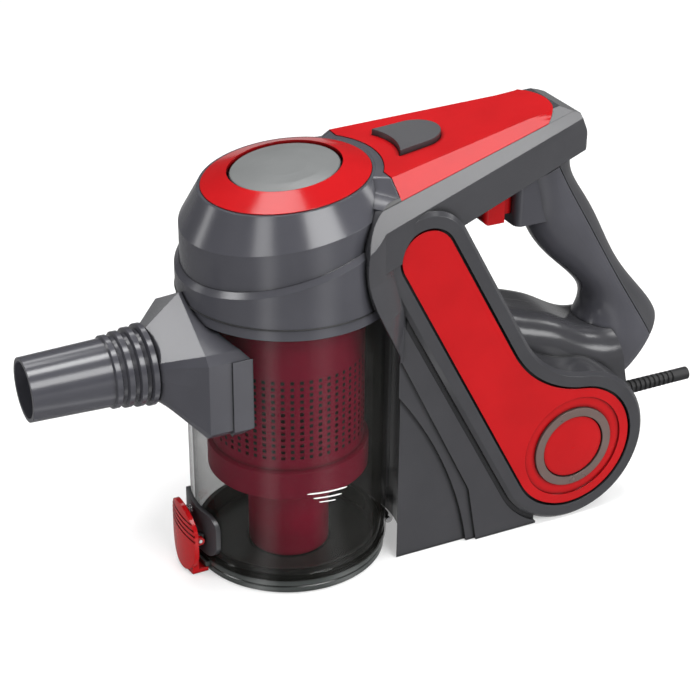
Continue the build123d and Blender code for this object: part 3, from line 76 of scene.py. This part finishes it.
# Sizes of the CAD model that the added pieces fit, in millimetres
HEAD_R = 56.0
SEAM_Z = 156.15
CUP_R = 52.0
CUP_TAPER = 0.6 / 145
SHROUD_R = 40.0
HOLE = 2.0
HOLE_PITCH = 3.6
HOLE_COLUMNS = 52
HOLE_FIRST_Z = 75.0
HOLE_ROWS = 13
POCKET_FLOOR = 44.3
TOP_Z = 212.5
TOP_TILT = radians(6.87)
CONE_R = 43.8
CONE_SLOPE = 1.45
NOTCH_R = 48.2
NOTCH_X = 40.0
COVER_HALF_W = 34.7

# Upper edge of the sleeve's front corner: x, half width, height
SLEEVE_EDGE = [
    (40.0, 44.1, 210.5),
    (36.6, 44.5, 210.3),
    (32.5, 46.0, 209.3),
    (30.5, 47.1, 208.5),
    (28.5, 48.5, 207.5),
]

# Dark ring in the gap under the head, standing in for the shade there: how far inside the head's radius it
# runs, its half width and half height, its segments
SEAM_INSET = 0.1
SEAM_HALF_W = 0.45
SEAM_HALF_H = 0.40
SEAM_SEGMENTS = (160, 10)

# Shelf: slit to its neighbours, lap under the cone, drop at the corner and at the foot, thickness,
# and steps along its arc, its front and its side
SHELF_SLIT = 0.3
SHELF_LAP = 0.05
SHELF_CORNER_DROP = 4.0
SHELF_FOOT_DROP = 8.6
SHELF_T = 0.9
SHELF_STEPS = (24, 4, 8)

# Tail of the arm's cover: centre and tip of its round end, half width there and how it narrows
TAIL_X = 127.0
TAIL_TIP = 146.0
TAIL_HALF_W = 24.03
TAIL_NARROWING = 0.2494

# The CAD cover's cut-off tail, from the same centre: reach of its end, and its corner's x, y and radius
CUT_REACH = 12.0
CUT_CORNER = (2.0, 14.2, 10.0)

# How the tail is drawn out: rise over the arm, spacing of the cuts and their count on each side of the
# middle, distance that welds two points, least length of an edge
TAIL_LIFT = 0.05
SLICE_STEP = 2.0
SLICES = 11
WELD = 0.002
LEAST_EDGE = 0.004

# Angle in degrees from which an edge of an added piece is sharp, and that of the arm's cover
CREASE = 40
COVER_CREASE = 20

# Springs: segments of a turn and of the wire
COIL_SEGMENTS = (24, 8)
COILS = [
    # node, body, turns, wire, joint that presses it, axis, end that stays (0 low, 1 high), travel
    ("release_spring", "body", 5, 0.8, "release_press", 2, 0, 3.0),
    ("cup_latch_spring", "body", 4, 0.6, "cup_latch_slide", 0, 1, 3.0),
    ("trigger_spring", "body", 3, 0.6, "trigger_pull", 0, 1, 4.0),
    ("latch_spring", "cup", 3, 0.6, "latch_rock", 0, 1, 1.4),
]

# Level lines: foot and face above the cup's wall, the face's share of the width, and the width's share
# at an end and its growth along the line
LINE_FOOT = 0.02
LINE_FACE = 0.12
LINE_FACE_W = 0.8
LINE_END_W = 0.35
LINE_END_SLOPE = 6
LINE_STEPS = 18
FILL_LINES = [
    # turn at each end in degrees, height at each end, thickness
    (-103.6, -79.5, 60.9, 59.9, 0.9),
    (-100.2, -83.0, 57.9, 56.9, 0.8),
    (-96.8, -86.9, 55.2, 54.4, 0.7),
]

# Share of light that each face of the cup's wall stops, seen squarely and along the wall, and how
# steeply it rises
CUP_ALPHA = 0.27
CUP_EDGE_ALPHA = 0.90
CUP_EDGE_POWER = 6

# Colours, linear
GREY = (0.053, 0.053, 0.062)
CASE_GREY = (0.038, 0.038, 0.042)
RED = (0.380, 0.005, 0.007)
# Red inside the cup in two copies: darker on the shroud as painted shade from the head above, brighter on
# the tube as painted light
RED_SHROUD_SHADED = (0.310, 0.004, 0.036)
RED_TUBE_LIT = (0.450, 0.006, 0.050)
BLACK = (0.010, 0.010, 0.011)
CHARCOAL = (0.036, 0.036, 0.040)
SILVER = (0.150, 0.155, 0.155)
TAUPE = (0.150, 0.105, 0.095)
SMOKE = (0.014, 0.014, 0.012)
LID = (0.045, 0.050, 0.048)
STEEL = (0.560, 0.560, 0.580)
COPPER = (0.640, 0.270, 0.120)
ALUMINIUM = (0.680, 0.680, 0.690)
PAPER = (0.780, 0.760, 0.680)
WHITE = (0.800, 0.800, 0.780)
FLOOR = (0.620, 0.620, 0.620)

# Grey levels of the shroud's painted holes and of the painted shade in the panel grooves
DOT_LEVEL = 0.02
GROOVE_SHADE_LEVEL = 0.004

# How near to the groove's floor and how flat a surface is to count as that floor, which gets the painted
# shade
GROOVE_NEAR = 0.14
GROOVE_FLAT = 0.98

# How far the grey of the arm cover's front corners stays short of the notch
CORNER_SLACK = 0.05

# Moulded surface: clouds of colour and gloss, fine grain, painted shade in crevices, and edges
CLOUD_SCALE = 38.0
CLOUD_DETAIL = 4.0
CLOUD_SPAN = (0.35, 0.70)
GLOSS_SPAN = (0.88, 1.15)
GRAIN_DETAIL = 2.0
GRAIN_DEPTH = 0.2
CREVICE_SHADE_SAMPLES = 6
CREVICE_SHADE_POWER = 1.6
EDGE_SAMPLES = 4

# Floor: half its side and its drop below the object in metres, and the light that it gives off
FLOOR_REACH = 6.0
FLOOR_DROP = 0.0002
FLOOR_GLOW = 0.38

# Brightness of the floor in reflections, by direction from the cup in degrees from -Y towards +X
FLOOR_BANDS = [
    (-80, 0.28),
    (-55, 0.30),
    (-42, 2.20),
    (-30, 0.34),
    (-4, 0.28),
    (14, 1.60),
    (30, 0.36),
    (70, 0.40),
]

# Brightness of the wall behind the floor, and of the room by direction, from 0 straight down over 0.5 at
# the horizon to 1 straight up
BACKDROP = 0.46
SKY = [
    (0.50, 0.06),
    (0.70, 0.10),
    (0.85, 0.22),
    (1.00, 0.35),
]

# Soft boxes: name, place, point that it faces, width and height, power
MIDDLE = (0.03, 0, 0.12)
BACK_FLOOR = (0.35, 1.0, 0)
LIGHTS = [
    ("overhead", (0.13, -0.17, 1.40), MIDDLE, (0.42, 0.32), 7.5),
    ("high_back", (-0.05, 0.52, 1.40), MIDDLE, (0.4, 0.35), 4),
    ("high_right", (0.85, -0.22, 1.40), MIDDLE, (0.6, 0.5), 6),
    ("front", (0.24, -1.28, 1.11), MIDDLE, (0.9, 0.6), 19),
    ("front_left", (-1.10, -0.65, 0.88), MIDDLE, (0.4, 0.5), 4),
    ("right", (1.30, -0.07, 0.74), MIDDLE, (0.22, 0.25), 1.2),
    ("low_right", (1.15, -1.00, 0.45), MIDDLE, (0.5, 0.35), 5),
    ("high_left", (-1.09, 0.22, 1.06), MIDDLE, (0.35, 0.35), 4.5),
    ("rim_left", (-1.10, 0.88, 0.45), MIDDLE, (0.2, 0.5), 1.5),
    ("back", (0.30, 1.25, 1.50), BACK_FLOOR, (1.0, 0.4), 7),
]


# Materials

def math_node(nodes, links, operation, first, second):
    """Math node on two inputs, each a socket or a number."""
    node = nodes.new("ShaderNodeMath")
    node.operation = operation
    for socket, value in zip(node.inputs, (first, second)):
        if isinstance(value, (int, float)):
            socket.default_value = value
        else:
            links.new(value, socket)
    return node.outputs["Value"]


def grey_ramp(nodes, links, share, levels):
    """Grey level of a share from 0 to 1, from pairs of share and level."""
    ramp = nodes.new("ShaderNodeValToRGB")
    stops = ramp.color_ramp.elements
    while len(stops) < len(levels):
        stops.new(0.5)
    for stop, (place, level) in zip(stops, levels):
        stop.position = place
        stop.color = (level, level, level, 1)
    links.new(share, ramp.inputs["Fac"])
    return ramp.outputs["Color"]


def material(name, colour, roughness, metallic=0.0, spread=0.06, grain=700.0, bump=0.04, edge=0.5,
             crevice_shade=2.5, specular=0.5):
    """Moulded surface: slight colour spread, fine grain, softened edges and painted shade darkening the
    crevices.
    """
    mat = bpy.data.materials.new(name)
    mat.use_nodes = True
    nodes, links = mat.node_tree.nodes, mat.node_tree.links
    shader = nodes["Principled BSDF"]
    shader.inputs["Metallic"].default_value = metallic
    shader.inputs["Specular IOR Level"].default_value = specular
    place = nodes.new("ShaderNodeTexCoord")
    cloud = nodes.new("ShaderNodeTexNoise")
    cloud.inputs["Scale"].default_value = CLOUD_SCALE
    cloud.inputs["Detail"].default_value = CLOUD_DETAIL
    links.new(place.outputs["Object"], cloud.inputs["Vector"])
    ramp = nodes.new("ShaderNodeValToRGB")
    for stop, position, gain in zip(ramp.color_ramp.elements, CLOUD_SPAN, (1 - spread, 1 + spread)):
        stop.position = position
        stop.color = (*[c * gain for c in colour], 1)
    links.new(cloud.outputs["Fac"], ramp.inputs["Fac"])
    tone = ramp.outputs["Color"]
    # Painted shade: ambient occlusion darkens the colour in crevices and seams
    if crevice_shade:
        crevice_shade_ao = nodes.new("ShaderNodeAmbientOcclusion")
        crevice_shade_ao.samples = CREVICE_SHADE_SAMPLES
        crevice_shade_ao.inputs["Distance"].default_value = crevice_shade * MM
        shade = nodes.new("ShaderNodeMix")
        shade.data_type = "RGBA"
        shade.blend_type = "MULTIPLY"
        shade.inputs["Factor"].default_value = 1.0
        links.new(tone, shade.inputs["A"])
        depth = math_node(nodes, links, "POWER", crevice_shade_ao.outputs["AO"], CREVICE_SHADE_POWER)
        links.new(depth, shade.inputs["B"])
        tone = shade.outputs["Result"]
    links.new(tone, shader.inputs["Base Color"])
    gloss = nodes.new("ShaderNodeMapRange")
    gloss.inputs["To Min"].default_value = roughness * GLOSS_SPAN[0]
    gloss.inputs["To Max"].default_value = roughness * GLOSS_SPAN[1]
    links.new(cloud.outputs["Fac"], gloss.inputs["Value"])
    links.new(gloss.outputs["Result"], shader.inputs["Roughness"])
    fine = nodes.new("ShaderNodeTexNoise")
    fine.inputs["Scale"].default_value = grain
    fine.inputs["Detail"].default_value = GRAIN_DETAIL
    links.new(place.outputs["Object"], fine.inputs["Vector"])
    relief = nodes.new("ShaderNodeBump")
    relief.inputs["Strength"].default_value = bump
    relief.inputs["Distance"].default_value = GRAIN_DEPTH * MM
    links.new(fine.outputs["Fac"], relief.inputs["Height"])
    if edge:
        soft = nodes.new("ShaderNodeBevel")
        soft.samples = EDGE_SAMPLES
        soft.inputs["Radius"].default_value = edge * MM
        links.new(soft.outputs["Normal"], relief.inputs["Normal"])
    links.new(relief.outputs["Normal"], shader.inputs["Normal"])
    return mat


def paint_grey(mat, mask, level):
    """Turns a material's colour to a grey level where a mask socket is 1."""
    nodes, links = mat.node_tree.nodes, mat.node_tree.links
    target = nodes["Principled BSDF"].inputs["Base Color"]
    source = target.links[0].from_socket
    shade = nodes.new("ShaderNodeMix")
    shade.data_type = "RGBA"
    links.new(mask, shade.inputs["Factor"])
    links.new(source, shade.inputs["A"])
    shade.inputs["B"].default_value = (level, level, level, 1)
    links.new(shade.outputs["Result"], target)


def object_axes(mat):
    """X, Y and Z of the surface point in the part's frame, in millimetres."""
    nodes, links = mat.node_tree.nodes, mat.node_tree.links
    place = nodes.new("ShaderNodeTexCoord")
    split = nodes.new("ShaderNodeSeparateXYZ")
    links.new(place.outputs["Object"], split.inputs["Vector"])
    return [math_node(nodes, links, "MULTIPLY", split.outputs[axis], 1 / MM) for axis in "XYZ"]


def groove_painted_shade(mat):
    """Paints shade on the floor of the grooves round the side panels, nearly black."""
    nodes, links = mat.node_tree.nodes, mat.node_tree.links
    side = math_node(nodes, links, "ABSOLUTE", object_axes(mat)[1], 0)
    above = math_node(nodes, links, "SUBTRACT", side, POCKET_FLOOR)
    near = math_node(nodes, links, "LESS_THAN", math_node(nodes, links, "ABSOLUTE", above, 0), GROOVE_NEAR)
    shape = nodes.new("ShaderNodeNewGeometry")
    split = nodes.new("ShaderNodeSeparateXYZ")
    links.new(shape.outputs["True Normal"], split.inputs["Vector"])
    facing = math_node(nodes, links, "ABSOLUTE", split.outputs["Y"], 0)
    flat = math_node(nodes, links, "GREATER_THAN", facing, GROOVE_FLAT)
    paint_grey(mat, math_node(nodes, links, "MULTIPLY", near, flat), GROOVE_SHADE_LEVEL)


def corner_grey(mat):
    """Grey front corners of the arm's cover, where it runs down into the sleeve."""
    nodes, links = mat.node_tree.nodes, mat.node_tree.links
    front = math_node(nodes, links, "LESS_THAN", object_axes(mat)[0], NOTCH_X - CORNER_SLACK)
    paint_grey(mat, front, CASE_GREY[0])


def shroud_dots(mat):
    """Rows of fine dark holes between and above the shroud's cut holes."""
    nodes, links = mat.node_tree.nodes, mat.node_tree.links
    x, y, z = object_axes(mat)
    around = math_node(nodes, links, "MULTIPLY", math_node(nodes, links, "ARCTAN2", y, x), SHROUD_R)
    column = math_node(nodes, links, "PINGPONG", around, pi * SHROUD_R / HOLE_COLUMNS)
    climb = math_node(nodes, links, "SUBTRACT", z, HOLE_FIRST_Z)
    row = math_node(nodes, links, "PINGPONG", climb, HOLE_PITCH / 2)
    mask = math_node(nodes, links, "MULTIPLY", math_node(nodes, links, "LESS_THAN", column, HOLE / 2),
                     math_node(nodes, links, "LESS_THAN", row, HOLE / 2))
    low = math_node(nodes, links, "GREATER_THAN", z, HOLE_FIRST_Z - HOLE_PITCH / 2)
    high = math_node(nodes, links, "LESS_THAN", z, HOLE_FIRST_Z + (HOLE_ROWS - 0.5) * HOLE_PITCH)
    band = math_node(nodes, links, "MULTIPLY", low, high)
    paint_grey(mat, math_node(nodes, links, "MULTIPLY", mask, band), DOT_LEVEL)


def clear_smoke():
    """Clear tinted plastic of the cup."""
    mat = material("smoke_clear", SMOKE, 0.06, spread=0.02, bump=0.0, edge=0, crevice_shade=0, specular=0.35)
    nodes, links = mat.node_tree.nodes, mat.node_tree.links
    slant = nodes.new("ShaderNodeLayerWeight")
    slant.inputs["Blend"].default_value = 0.5
    edge = math_node(nodes, links, "POWER", slant.outputs["Facing"], CUP_EDGE_POWER)
    span = math_node(nodes, links, "MULTIPLY", edge, CUP_EDGE_ALPHA - CUP_ALPHA)
    alpha = math_node(nodes, links, "ADD", span, CUP_ALPHA)
    links.new(alpha, nodes["Principled BSDF"].inputs["Alpha"])
    return mat


MATERIALS = {
    "grey": material("grey_shell", GREY, 0.20, specular=0.4),
    "grey_case": material("grey_case", CASE_GREY, 0.20, specular=0.4),
    "red": material("red_gloss", RED, 0.14, specular=0.22),
    "red_cover": material("red_cover", RED, 0.14, specular=0.22),
    # Lit and shaded copies of the red inside the cup: painted light on the tube, painted shade on the
    # shroud
    "red_tube_lit": material("red_tube_lit", RED_TUBE_LIT, 0.30, specular=0.2),
    "red_shroud_shaded": material("red_shroud_shaded", RED_SHROUD_SHADED, 0.30, specular=0.2),
    "black": material("black_plastic", BLACK, 0.35),
    "charcoal": material("charcoal", CHARCOAL, 0.34, bump=0.10),
    "lid": material("lid_plastic", LID, 0.20),
    "silver": material("silver_trim", SILVER, 0.16, specular=0.4),
    "taupe": material("taupe_trim", TAUPE, 0.28, metallic=0.3),
    "rubber": material("black_rubber", BLACK, 0.55, bump=0.12),
    "steel": material("steel", STEEL, 0.28, metallic=1.0),
    "aluminium": material("cast_aluminium", ALUMINIUM, 0.38, metallic=1.0, bump=0.10),
    "copper": material("copper_wire", COPPER, 0.32, metallic=1.0, bump=0.15, grain=1500.0),
    "paper": material("filter_paper", PAPER, 0.85, bump=0.15),
    "print": material("print_white", WHITE, 0.55, bump=0.02, edge=0, crevice_shade=0),
    "smoke": clear_smoke(),
}
# Painted shade on the floor of the panel grooves
groove_painted_shade(MATERIALS["grey_case"])
corner_grey(MATERIALS["red_cover"])
shroud_dots(MATERIALS["red_shroud_shaded"])

LOOKS = {
    "grey": "head_shell grip inlet_duct inlet_spigot cup_collar",
    "grey_case": "frame_left frame_right",
    "red_cover": "arm_cover",
    "red": "top_ring side_panel_left side_panel_right side_cap_left side_cap_right trigger lid_latch",
    "red_tube_lit": "dust_tube",
    "red_shroud_shaded": "cyclone_shroud",
    "black": "release_rod cup_latch switch capacitor motor_deck filter_frame brush_holders motor_plate "
             "brushes",
    "charcoal": "grip_back release_button latch_bracket",
    "lid": "cup_lid",
    "silver": "top_disc",
    "taupe": "side_ring_left side_ring_right",
    "rubber": "strain_relief cup_seal lid_seal motor_ring",
    "steel": "trigger_spring release_spring cup_latch_spring latch_spring case_screws motor_shaft fan_nut "
             "lower_bearing upper_bearing stator_core armature lid_hinge_pin latch_pin motor_bracket",
    "aluminium": "fan fan_cover",
    "copper": "field_coils commutator",
    "paper": "filter_pleats",
    "smoke": "dust_cup",
}


def dress_nodes():
    """Gives each CAD node its finish."""
    for look, names in LOOKS.items():
        for name in names.split():
            mesh = NODES[name].data
            mesh.materials.clear()
            mesh.materials.append(MATERIALS[look])


# Added pieces

def add_piece(name, shape, look, body, crease=CREASE):
    """Links a bmesh as a piece that rides on a body, with the edges over the crease angle sharp."""
    mesh = bpy.data.meshes.new(name)
    bmesh.ops.recalc_face_normals(shape, faces=shape.faces)
    shape.to_mesh(mesh)
    shape.free()
    mesh.polygons.foreach_set("use_smooth", [True] * len(mesh.polygons))
    mesh.set_sharp_from_angle(angle=radians(crease))
    mesh.materials.append(MATERIALS[look])
    piece = bpy.data.objects.new(name, mesh)
    bpy.context.scene.collection.objects.link(piece)
    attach(piece, body)
    return piece


def ring_point(radius, turn, z):
    """Point at a radius and turn round the cup's axis, from millimetres to metres."""
    return radius * cos(turn) * MM, radius * sin(turn) * MM, z * MM


def skin(shape, rows):
    """Faces between neighbouring rows of vertices, each row a closed loop."""
    for first, second in zip(rows, rows[1:]):
        for step in range(len(first)):
            after = (step + 1) % len(first)
            shape.faces.new((first[step], second[step], second[after], first[after]))


def closed_skin(shape, rows):
    """Skin over rows of vertices, with its two ends closed."""
    skin(shape, rows)
    shape.faces.new(rows[0])
    shape.faces.new(rows[-1])


def head_gap_shade_ring():
    """Dark ring standing in for the shade in the gap between the head and the cup's collar."""
    shape = bmesh.new()
    around, section = SEAM_SEGMENTS
    rings = []
    for index in range(around):
        turn = 2 * pi * index / around
        ring = []
        for step in range(section):
            angle = 2 * pi * step / section
            radius = HEAD_R - SEAM_INSET + SEAM_HALF_W * cos(angle)
            height = SEAM_Z + SEAM_HALF_H * sin(angle)
            ring.append(shape.verts.new(ring_point(radius, turn, height)))
        rings.append(ring)
    skin(shape, rings + rings[:1])
    add_piece("head_gap_shade_ring", shape, "rubber", "body")


def top_point(radius, turn, lift):
    """Point on the head's tilted top, at a height over it."""
    x, y = radius * cos(turn), radius * sin(turn)
    return Vector((x * cos(TOP_TILT) - lift * sin(TOP_TILT), y,
                   TOP_Z + x * sin(TOP_TILT) + lift * cos(TOP_TILT)))


def cone_point(outer, drop):
    """Point on the head's cone, in the direction of an outer point and at a drop below the top."""
    return top_point(CONE_R - SHELF_LAP + drop / CONE_SLOPE, atan2(outer.y, outer.x), -drop)


def shelf_stations():
    """Outer and inner top points of the shelf along one half, from the middle line out."""
    arc_steps, front_steps, side_steps = SHELF_STEPS
    front_x = NOTCH_X - SHELF_SLIT
    notch_r = NOTCH_R - SHELF_SLIT
    last_turn = acos(front_x / cos(TOP_TILT) / notch_r)
    stations = []
    for index in range(arc_steps + 1):
        turn = last_turn * index / arc_steps
        stations.append((top_point(notch_r, turn, -SHELF_SLIT), top_point(CONE_R - SHELF_LAP, turn, 0)))
    start = stations[-1][0]
    shoulder = Vector((front_x, COVER_HALF_W, start.z))
    edge = [Vector((x, y, z + 0.5 * SHELF_SLIT)) for x, y, z in SLEEVE_EDGE]
    corner = Vector((front_x, edge[0].y, edge[0].z - SHELF_SLIT))
    for index in range(1, front_steps + 1):
        outer = start.lerp(shoulder, index / front_steps)
        stations.append((outer, cone_point(outer, 0)))
    for index in range(1, side_steps + 1):
        outer = shoulder.lerp(corner, index / side_steps)
        stations.append((outer, cone_point(outer, SHELF_CORNER_DROP * index / side_steps)))
    fall = SHELF_FOOT_DROP - SHELF_CORNER_DROP
    for index, outer in enumerate(edge[1:], 1):
        stations.append((outer, cone_point(outer, SHELF_CORNER_DROP + fall * index / (len(edge) - 1))))
    return stations


def head_shelf():
    """Flat shelf between the head's cone and the notch in the arm's cover."""
    depth = Vector((0, 0, -SHELF_T))
    half = shelf_stations()
    mirrored = [tuple(Vector((p.x, -p.y, p.z)) for p in pair) for pair in half[:0:-1]]
    shape = bmesh.new()
    rows = []
    for outer, inner in mirrored + half:
        row = [inner, outer, outer + depth, inner + depth]
        rows.append([shape.verts.new(point * MM) for point in row])
    closed_skin(shape, rows)
    add_piece("head_shelf", shape, "grey", "body")


def tail_growth(turn):
    """How many times further than the cut-off tail the round one reaches in a direction."""
    ahead, aside = cos(turn), abs(sin(turn))
    side = TAIL_HALF_W / (aside + TAIL_NARROWING * ahead)
    corner_x, corner_y, corner_r = CUT_CORNER
    along = corner_x * ahead + corner_y * aside
    bend = along**2 - corner_x**2 - corner_y**2 + corner_r**2
    if aside * CUT_REACH <= ahead * corner_y or bend < 0:
        cut = CUT_REACH / ahead
    else:
        cut = along + bend**0.5
    curve = 1 / ((ahead / (TAIL_TIP - TAIL_X))**2 + (aside / TAIL_HALF_W)**2)**0.5
    return max(1, min(curve, side) / min(cut, side))


def round_cover():
    """Arm's cover with its tail drawn out to a round end."""
    shape = bmesh.new()
    source = NODES["arm_cover"].data
    corners = [shape.verts.new(vert.co) for vert in source.vertices]
    for face in source.polygons:
        shape.faces.new([corners[index] for index in face.vertices])
    bmesh.ops.remove_doubles(shape, verts=shape.verts, dist=WELD * MM)
    slices = [((TAIL_X, 0, 0), (1, 0, 0))]
    slices += [((0, SLICE_STEP * step, 0), (0, 1, 0)) for step in range(-SLICES, SLICES + 1)]
    for place, across in slices:
        parts = shape.verts[:] + shape.edges[:] + shape.faces[:]
        bmesh.ops.bisect_plane(shape, geom=parts, dist=WELD * MM, plane_co=Vector(place) * MM,
                               plane_no=across)
    for vert in shape.verts:
        x, y = vert.co.x / MM - TAIL_X, vert.co.y / MM
        if x > 0:
            moved = x * tail_growth(atan2(y, x))
            lift = tan(TOP_TILT) * (moved - x) + TAIL_LIFT * moved / (TAIL_TIP - TAIL_X)
            vert.co += Vector((moved - x, y * (moved / x - 1), lift)) * MM
    bmesh.ops.dissolve_degenerate(shape, edges=shape.edges[:], dist=LEAST_EDGE * MM)
    piece = add_piece("arm_cover_round", shape, "red_cover", "body", crease=COVER_CREASE)
    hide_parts("arm_cover")


def coil(node, body, turns, wire, joint, axis, fixed, travel):
    """Spring of round wire in the room of its node."""
    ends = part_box(node)
    low, high = (Vector(end) / MM for end in ends)
    middle = (low + high) / 2
    radius = (high.y - low.y - wire) / 2
    length = high[axis] - low[axis]
    side, up = (0, 1) if axis == 2 else (1, 2)
    steps, section = COIL_SEGMENTS[0] * turns, COIL_SEGMENTS[1]
    shape = bmesh.new()
    rows = []
    for index in range(steps + 1):
        share = index / steps
        turn = 2 * pi * turns * share
        row = []
        for step in range(section):
            angle = 2 * pi * step / section
            reach = radius + wire / 2 * cos(angle)
            point = middle.copy()
            point[side] += reach * cos(turn)
            point[up] += reach * sin(turn)
            point[axis] = low[axis] + wire / 2 + (length - wire) * share + wire / 2 * sin(angle)
            row.append(shape.verts.new(point * MM))
        rows.append(row)
    closed_skin(shape, rows)
    piece = add_piece(node + "_coil", shape, "steel", body)
    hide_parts(node)
    along = Vector((0, 0, 0))
    along[axis] = 1
    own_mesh(piece)


def fill_marks():
    """Printed level lines on the cup's front."""
    shape = bmesh.new()
    for turn0, turn1, z0, z1, thick in FILL_LINES:
        rows = []
        for index in range(LINE_STEPS + 1):
            share = index / LINE_STEPS
            turn = radians(turn0 + (turn1 - turn0) * share)
            z = z0 + (z1 - z0) * share
            half = thick / 2 * min(1, LINE_END_W + LINE_END_SLOPE * min(share, 1 - share))
            face = LINE_FACE_W * half
            row = []
            for out, lift in ((LINE_FOOT, -half), (LINE_FACE, -face), (LINE_FACE, face), (LINE_FOOT, half)):
                radius = CUP_R + CUP_TAPER * (z + lift) + out
                row.append(shape.verts.new(ring_point(radius, turn, z + lift)))
            rows.append(row)
        closed_skin(shape, rows)
    add_piece("fill_marks", shape, "print", "cup")


# Stage, light and camera

def floor_paint():
    """White that glows a little, and that is dimmer in reflections, with two bright bands."""
    paint = material("floor_white", FLOOR, 0.6, spread=0.004, bump=0.0, edge=0, crevice_shade=0)
    nodes, links = paint.node_tree.nodes, paint.node_tree.links
    shader = nodes["Principled BSDF"]
    shader.inputs["Emission Color"].default_value = (1, 1, 1, 1)
    shader.inputs["Emission Strength"].default_value = FLOOR_GLOW
    x, y, _ = object_axes(paint)
    turn = math_node(nodes, links, "ARCTAN2", x, math_node(nodes, links, "MULTIPLY", y, -1))
    share = math_node(nodes, links, "ADD", math_node(nodes, links, "DIVIDE", turn, 2 * pi), 0.5)
    bands = [(degrees / 360 + 0.5, level) for degrees, level in FLOOR_BANDS]
    mirrored = nodes.new("ShaderNodeEmission")
    links.new(grey_ramp(nodes, links, share, bands), mirrored.inputs["Color"])
    path = nodes.new("ShaderNodeLightPath")
    either = nodes.new("ShaderNodeMixShader")
    links.new(path.outputs["Is Glossy Ray"], either.inputs["Fac"])
    links.new(shader.outputs["BSDF"], either.inputs[1])
    links.new(mirrored.outputs["Emission"], either.inputs[2])
    links.new(either.outputs["Shader"], nodes["Material Output"].inputs["Surface"])
    return paint


def stage():
    """Pale floor."""
    corners = [(-1, -1), (1, -1), (1, 1), (-1, 1)]
    mesh = bpy.data.meshes.new("floor")
    mesh.from_pydata([(x * FLOOR_REACH, y * FLOOR_REACH, 0) for x, y in corners], [], [(0, 1, 2, 3)])
    mesh.materials.append(floor_paint())
    floor = bpy.data.objects.new("floor", mesh)
    floor.location.z = CAD_BOX[0].z - FLOOR_DROP
    bpy.context.scene.collection.objects.link(floor)


def soft_light(name, place, target, size, power):
    """Rectangular soft box that faces a point."""
    data = bpy.data.lights.new(name, "AREA")
    data.shape = "RECTANGLE"
    data.size, data.size_y = size
    data.energy = power
    light = bpy.data.objects.new(name, data)
    light.location = place
    light.rotation_mode = "QUATERNION"
    light.rotation_quaternion = (Vector(target) - Vector(place)).to_track_quat("-Z", "Y")
    bpy.context.scene.collection.objects.link(light)


def room():
    """Dim walls and a brighter ceiling, with a plain backdrop where the camera sees past the floor."""
    world = bpy.data.worlds.new("studio")
    world.use_nodes = True
    nodes, links = world.node_tree.nodes, world.node_tree.links
    place = nodes.new("ShaderNodeTexCoord")
    split = nodes.new("ShaderNodeSeparateXYZ")
    links.new(place.outputs["Generated"], split.inputs["Vector"])
    level = nodes.new("ShaderNodeMapRange")
    level.inputs["From Min"].default_value = -1.0
    links.new(split.outputs["Z"], level.inputs["Value"])
    path = nodes.new("ShaderNodeLightPath")
    view = nodes.new("ShaderNodeMix")
    view.data_type = "RGBA"
    links.new(path.outputs["Is Camera Ray"], view.inputs["Factor"])
    links.new(grey_ramp(nodes, links, level.outputs["Result"], SKY), view.inputs["A"])
    view.inputs["B"].default_value = (BACKDROP, BACKDROP, BACKDROP, 1)
    links.new(view.outputs["Result"], nodes["Background"].inputs["Color"])
    bpy.context.scene.world = world


def lighting():
    """Room and soft boxes."""
    room()
    for values in LIGHTS:
        soft_light(*values)
    bpy.context.scene.view_settings.view_transform = "Standard"


def camera():
    """Camera at the photograph's viewpoint."""
    azimuth, elevation = radians(CAMERA_AZIMUTH), radians(CAMERA_ELEVATION)
    level = cos(elevation)
    back = Vector((sin(azimuth) * level, -cos(azimuth) * level, sin(elevation)))
    data = bpy.data.cameras.new("camera")
    data.sensor_width = SENSOR_MM
    data.lens = FOCAL_PIXELS / IMAGE_PIXELS * SENSOR_MM
    data.clip_start, data.clip_end = CAMERA_CLIP
    view = bpy.data.objects.new("camera", data)
    view.location = CAMERA_PLACE
    view.rotation_mode = "QUATERNION"
    upright = (-back).to_track_quat("-Z", "Y")
    view.rotation_quaternion = Quaternion(back, radians(CAMERA_ROLL)) @ upright
    bpy.context.scene.collection.objects.link(view)
    bpy.context.scene.camera = view


dress_nodes()
head_gap_shade_ring()
head_shelf()
round_cover()
for values in COILS:
    coil(*values)
fill_marks()
stage()
lighting()
camera()
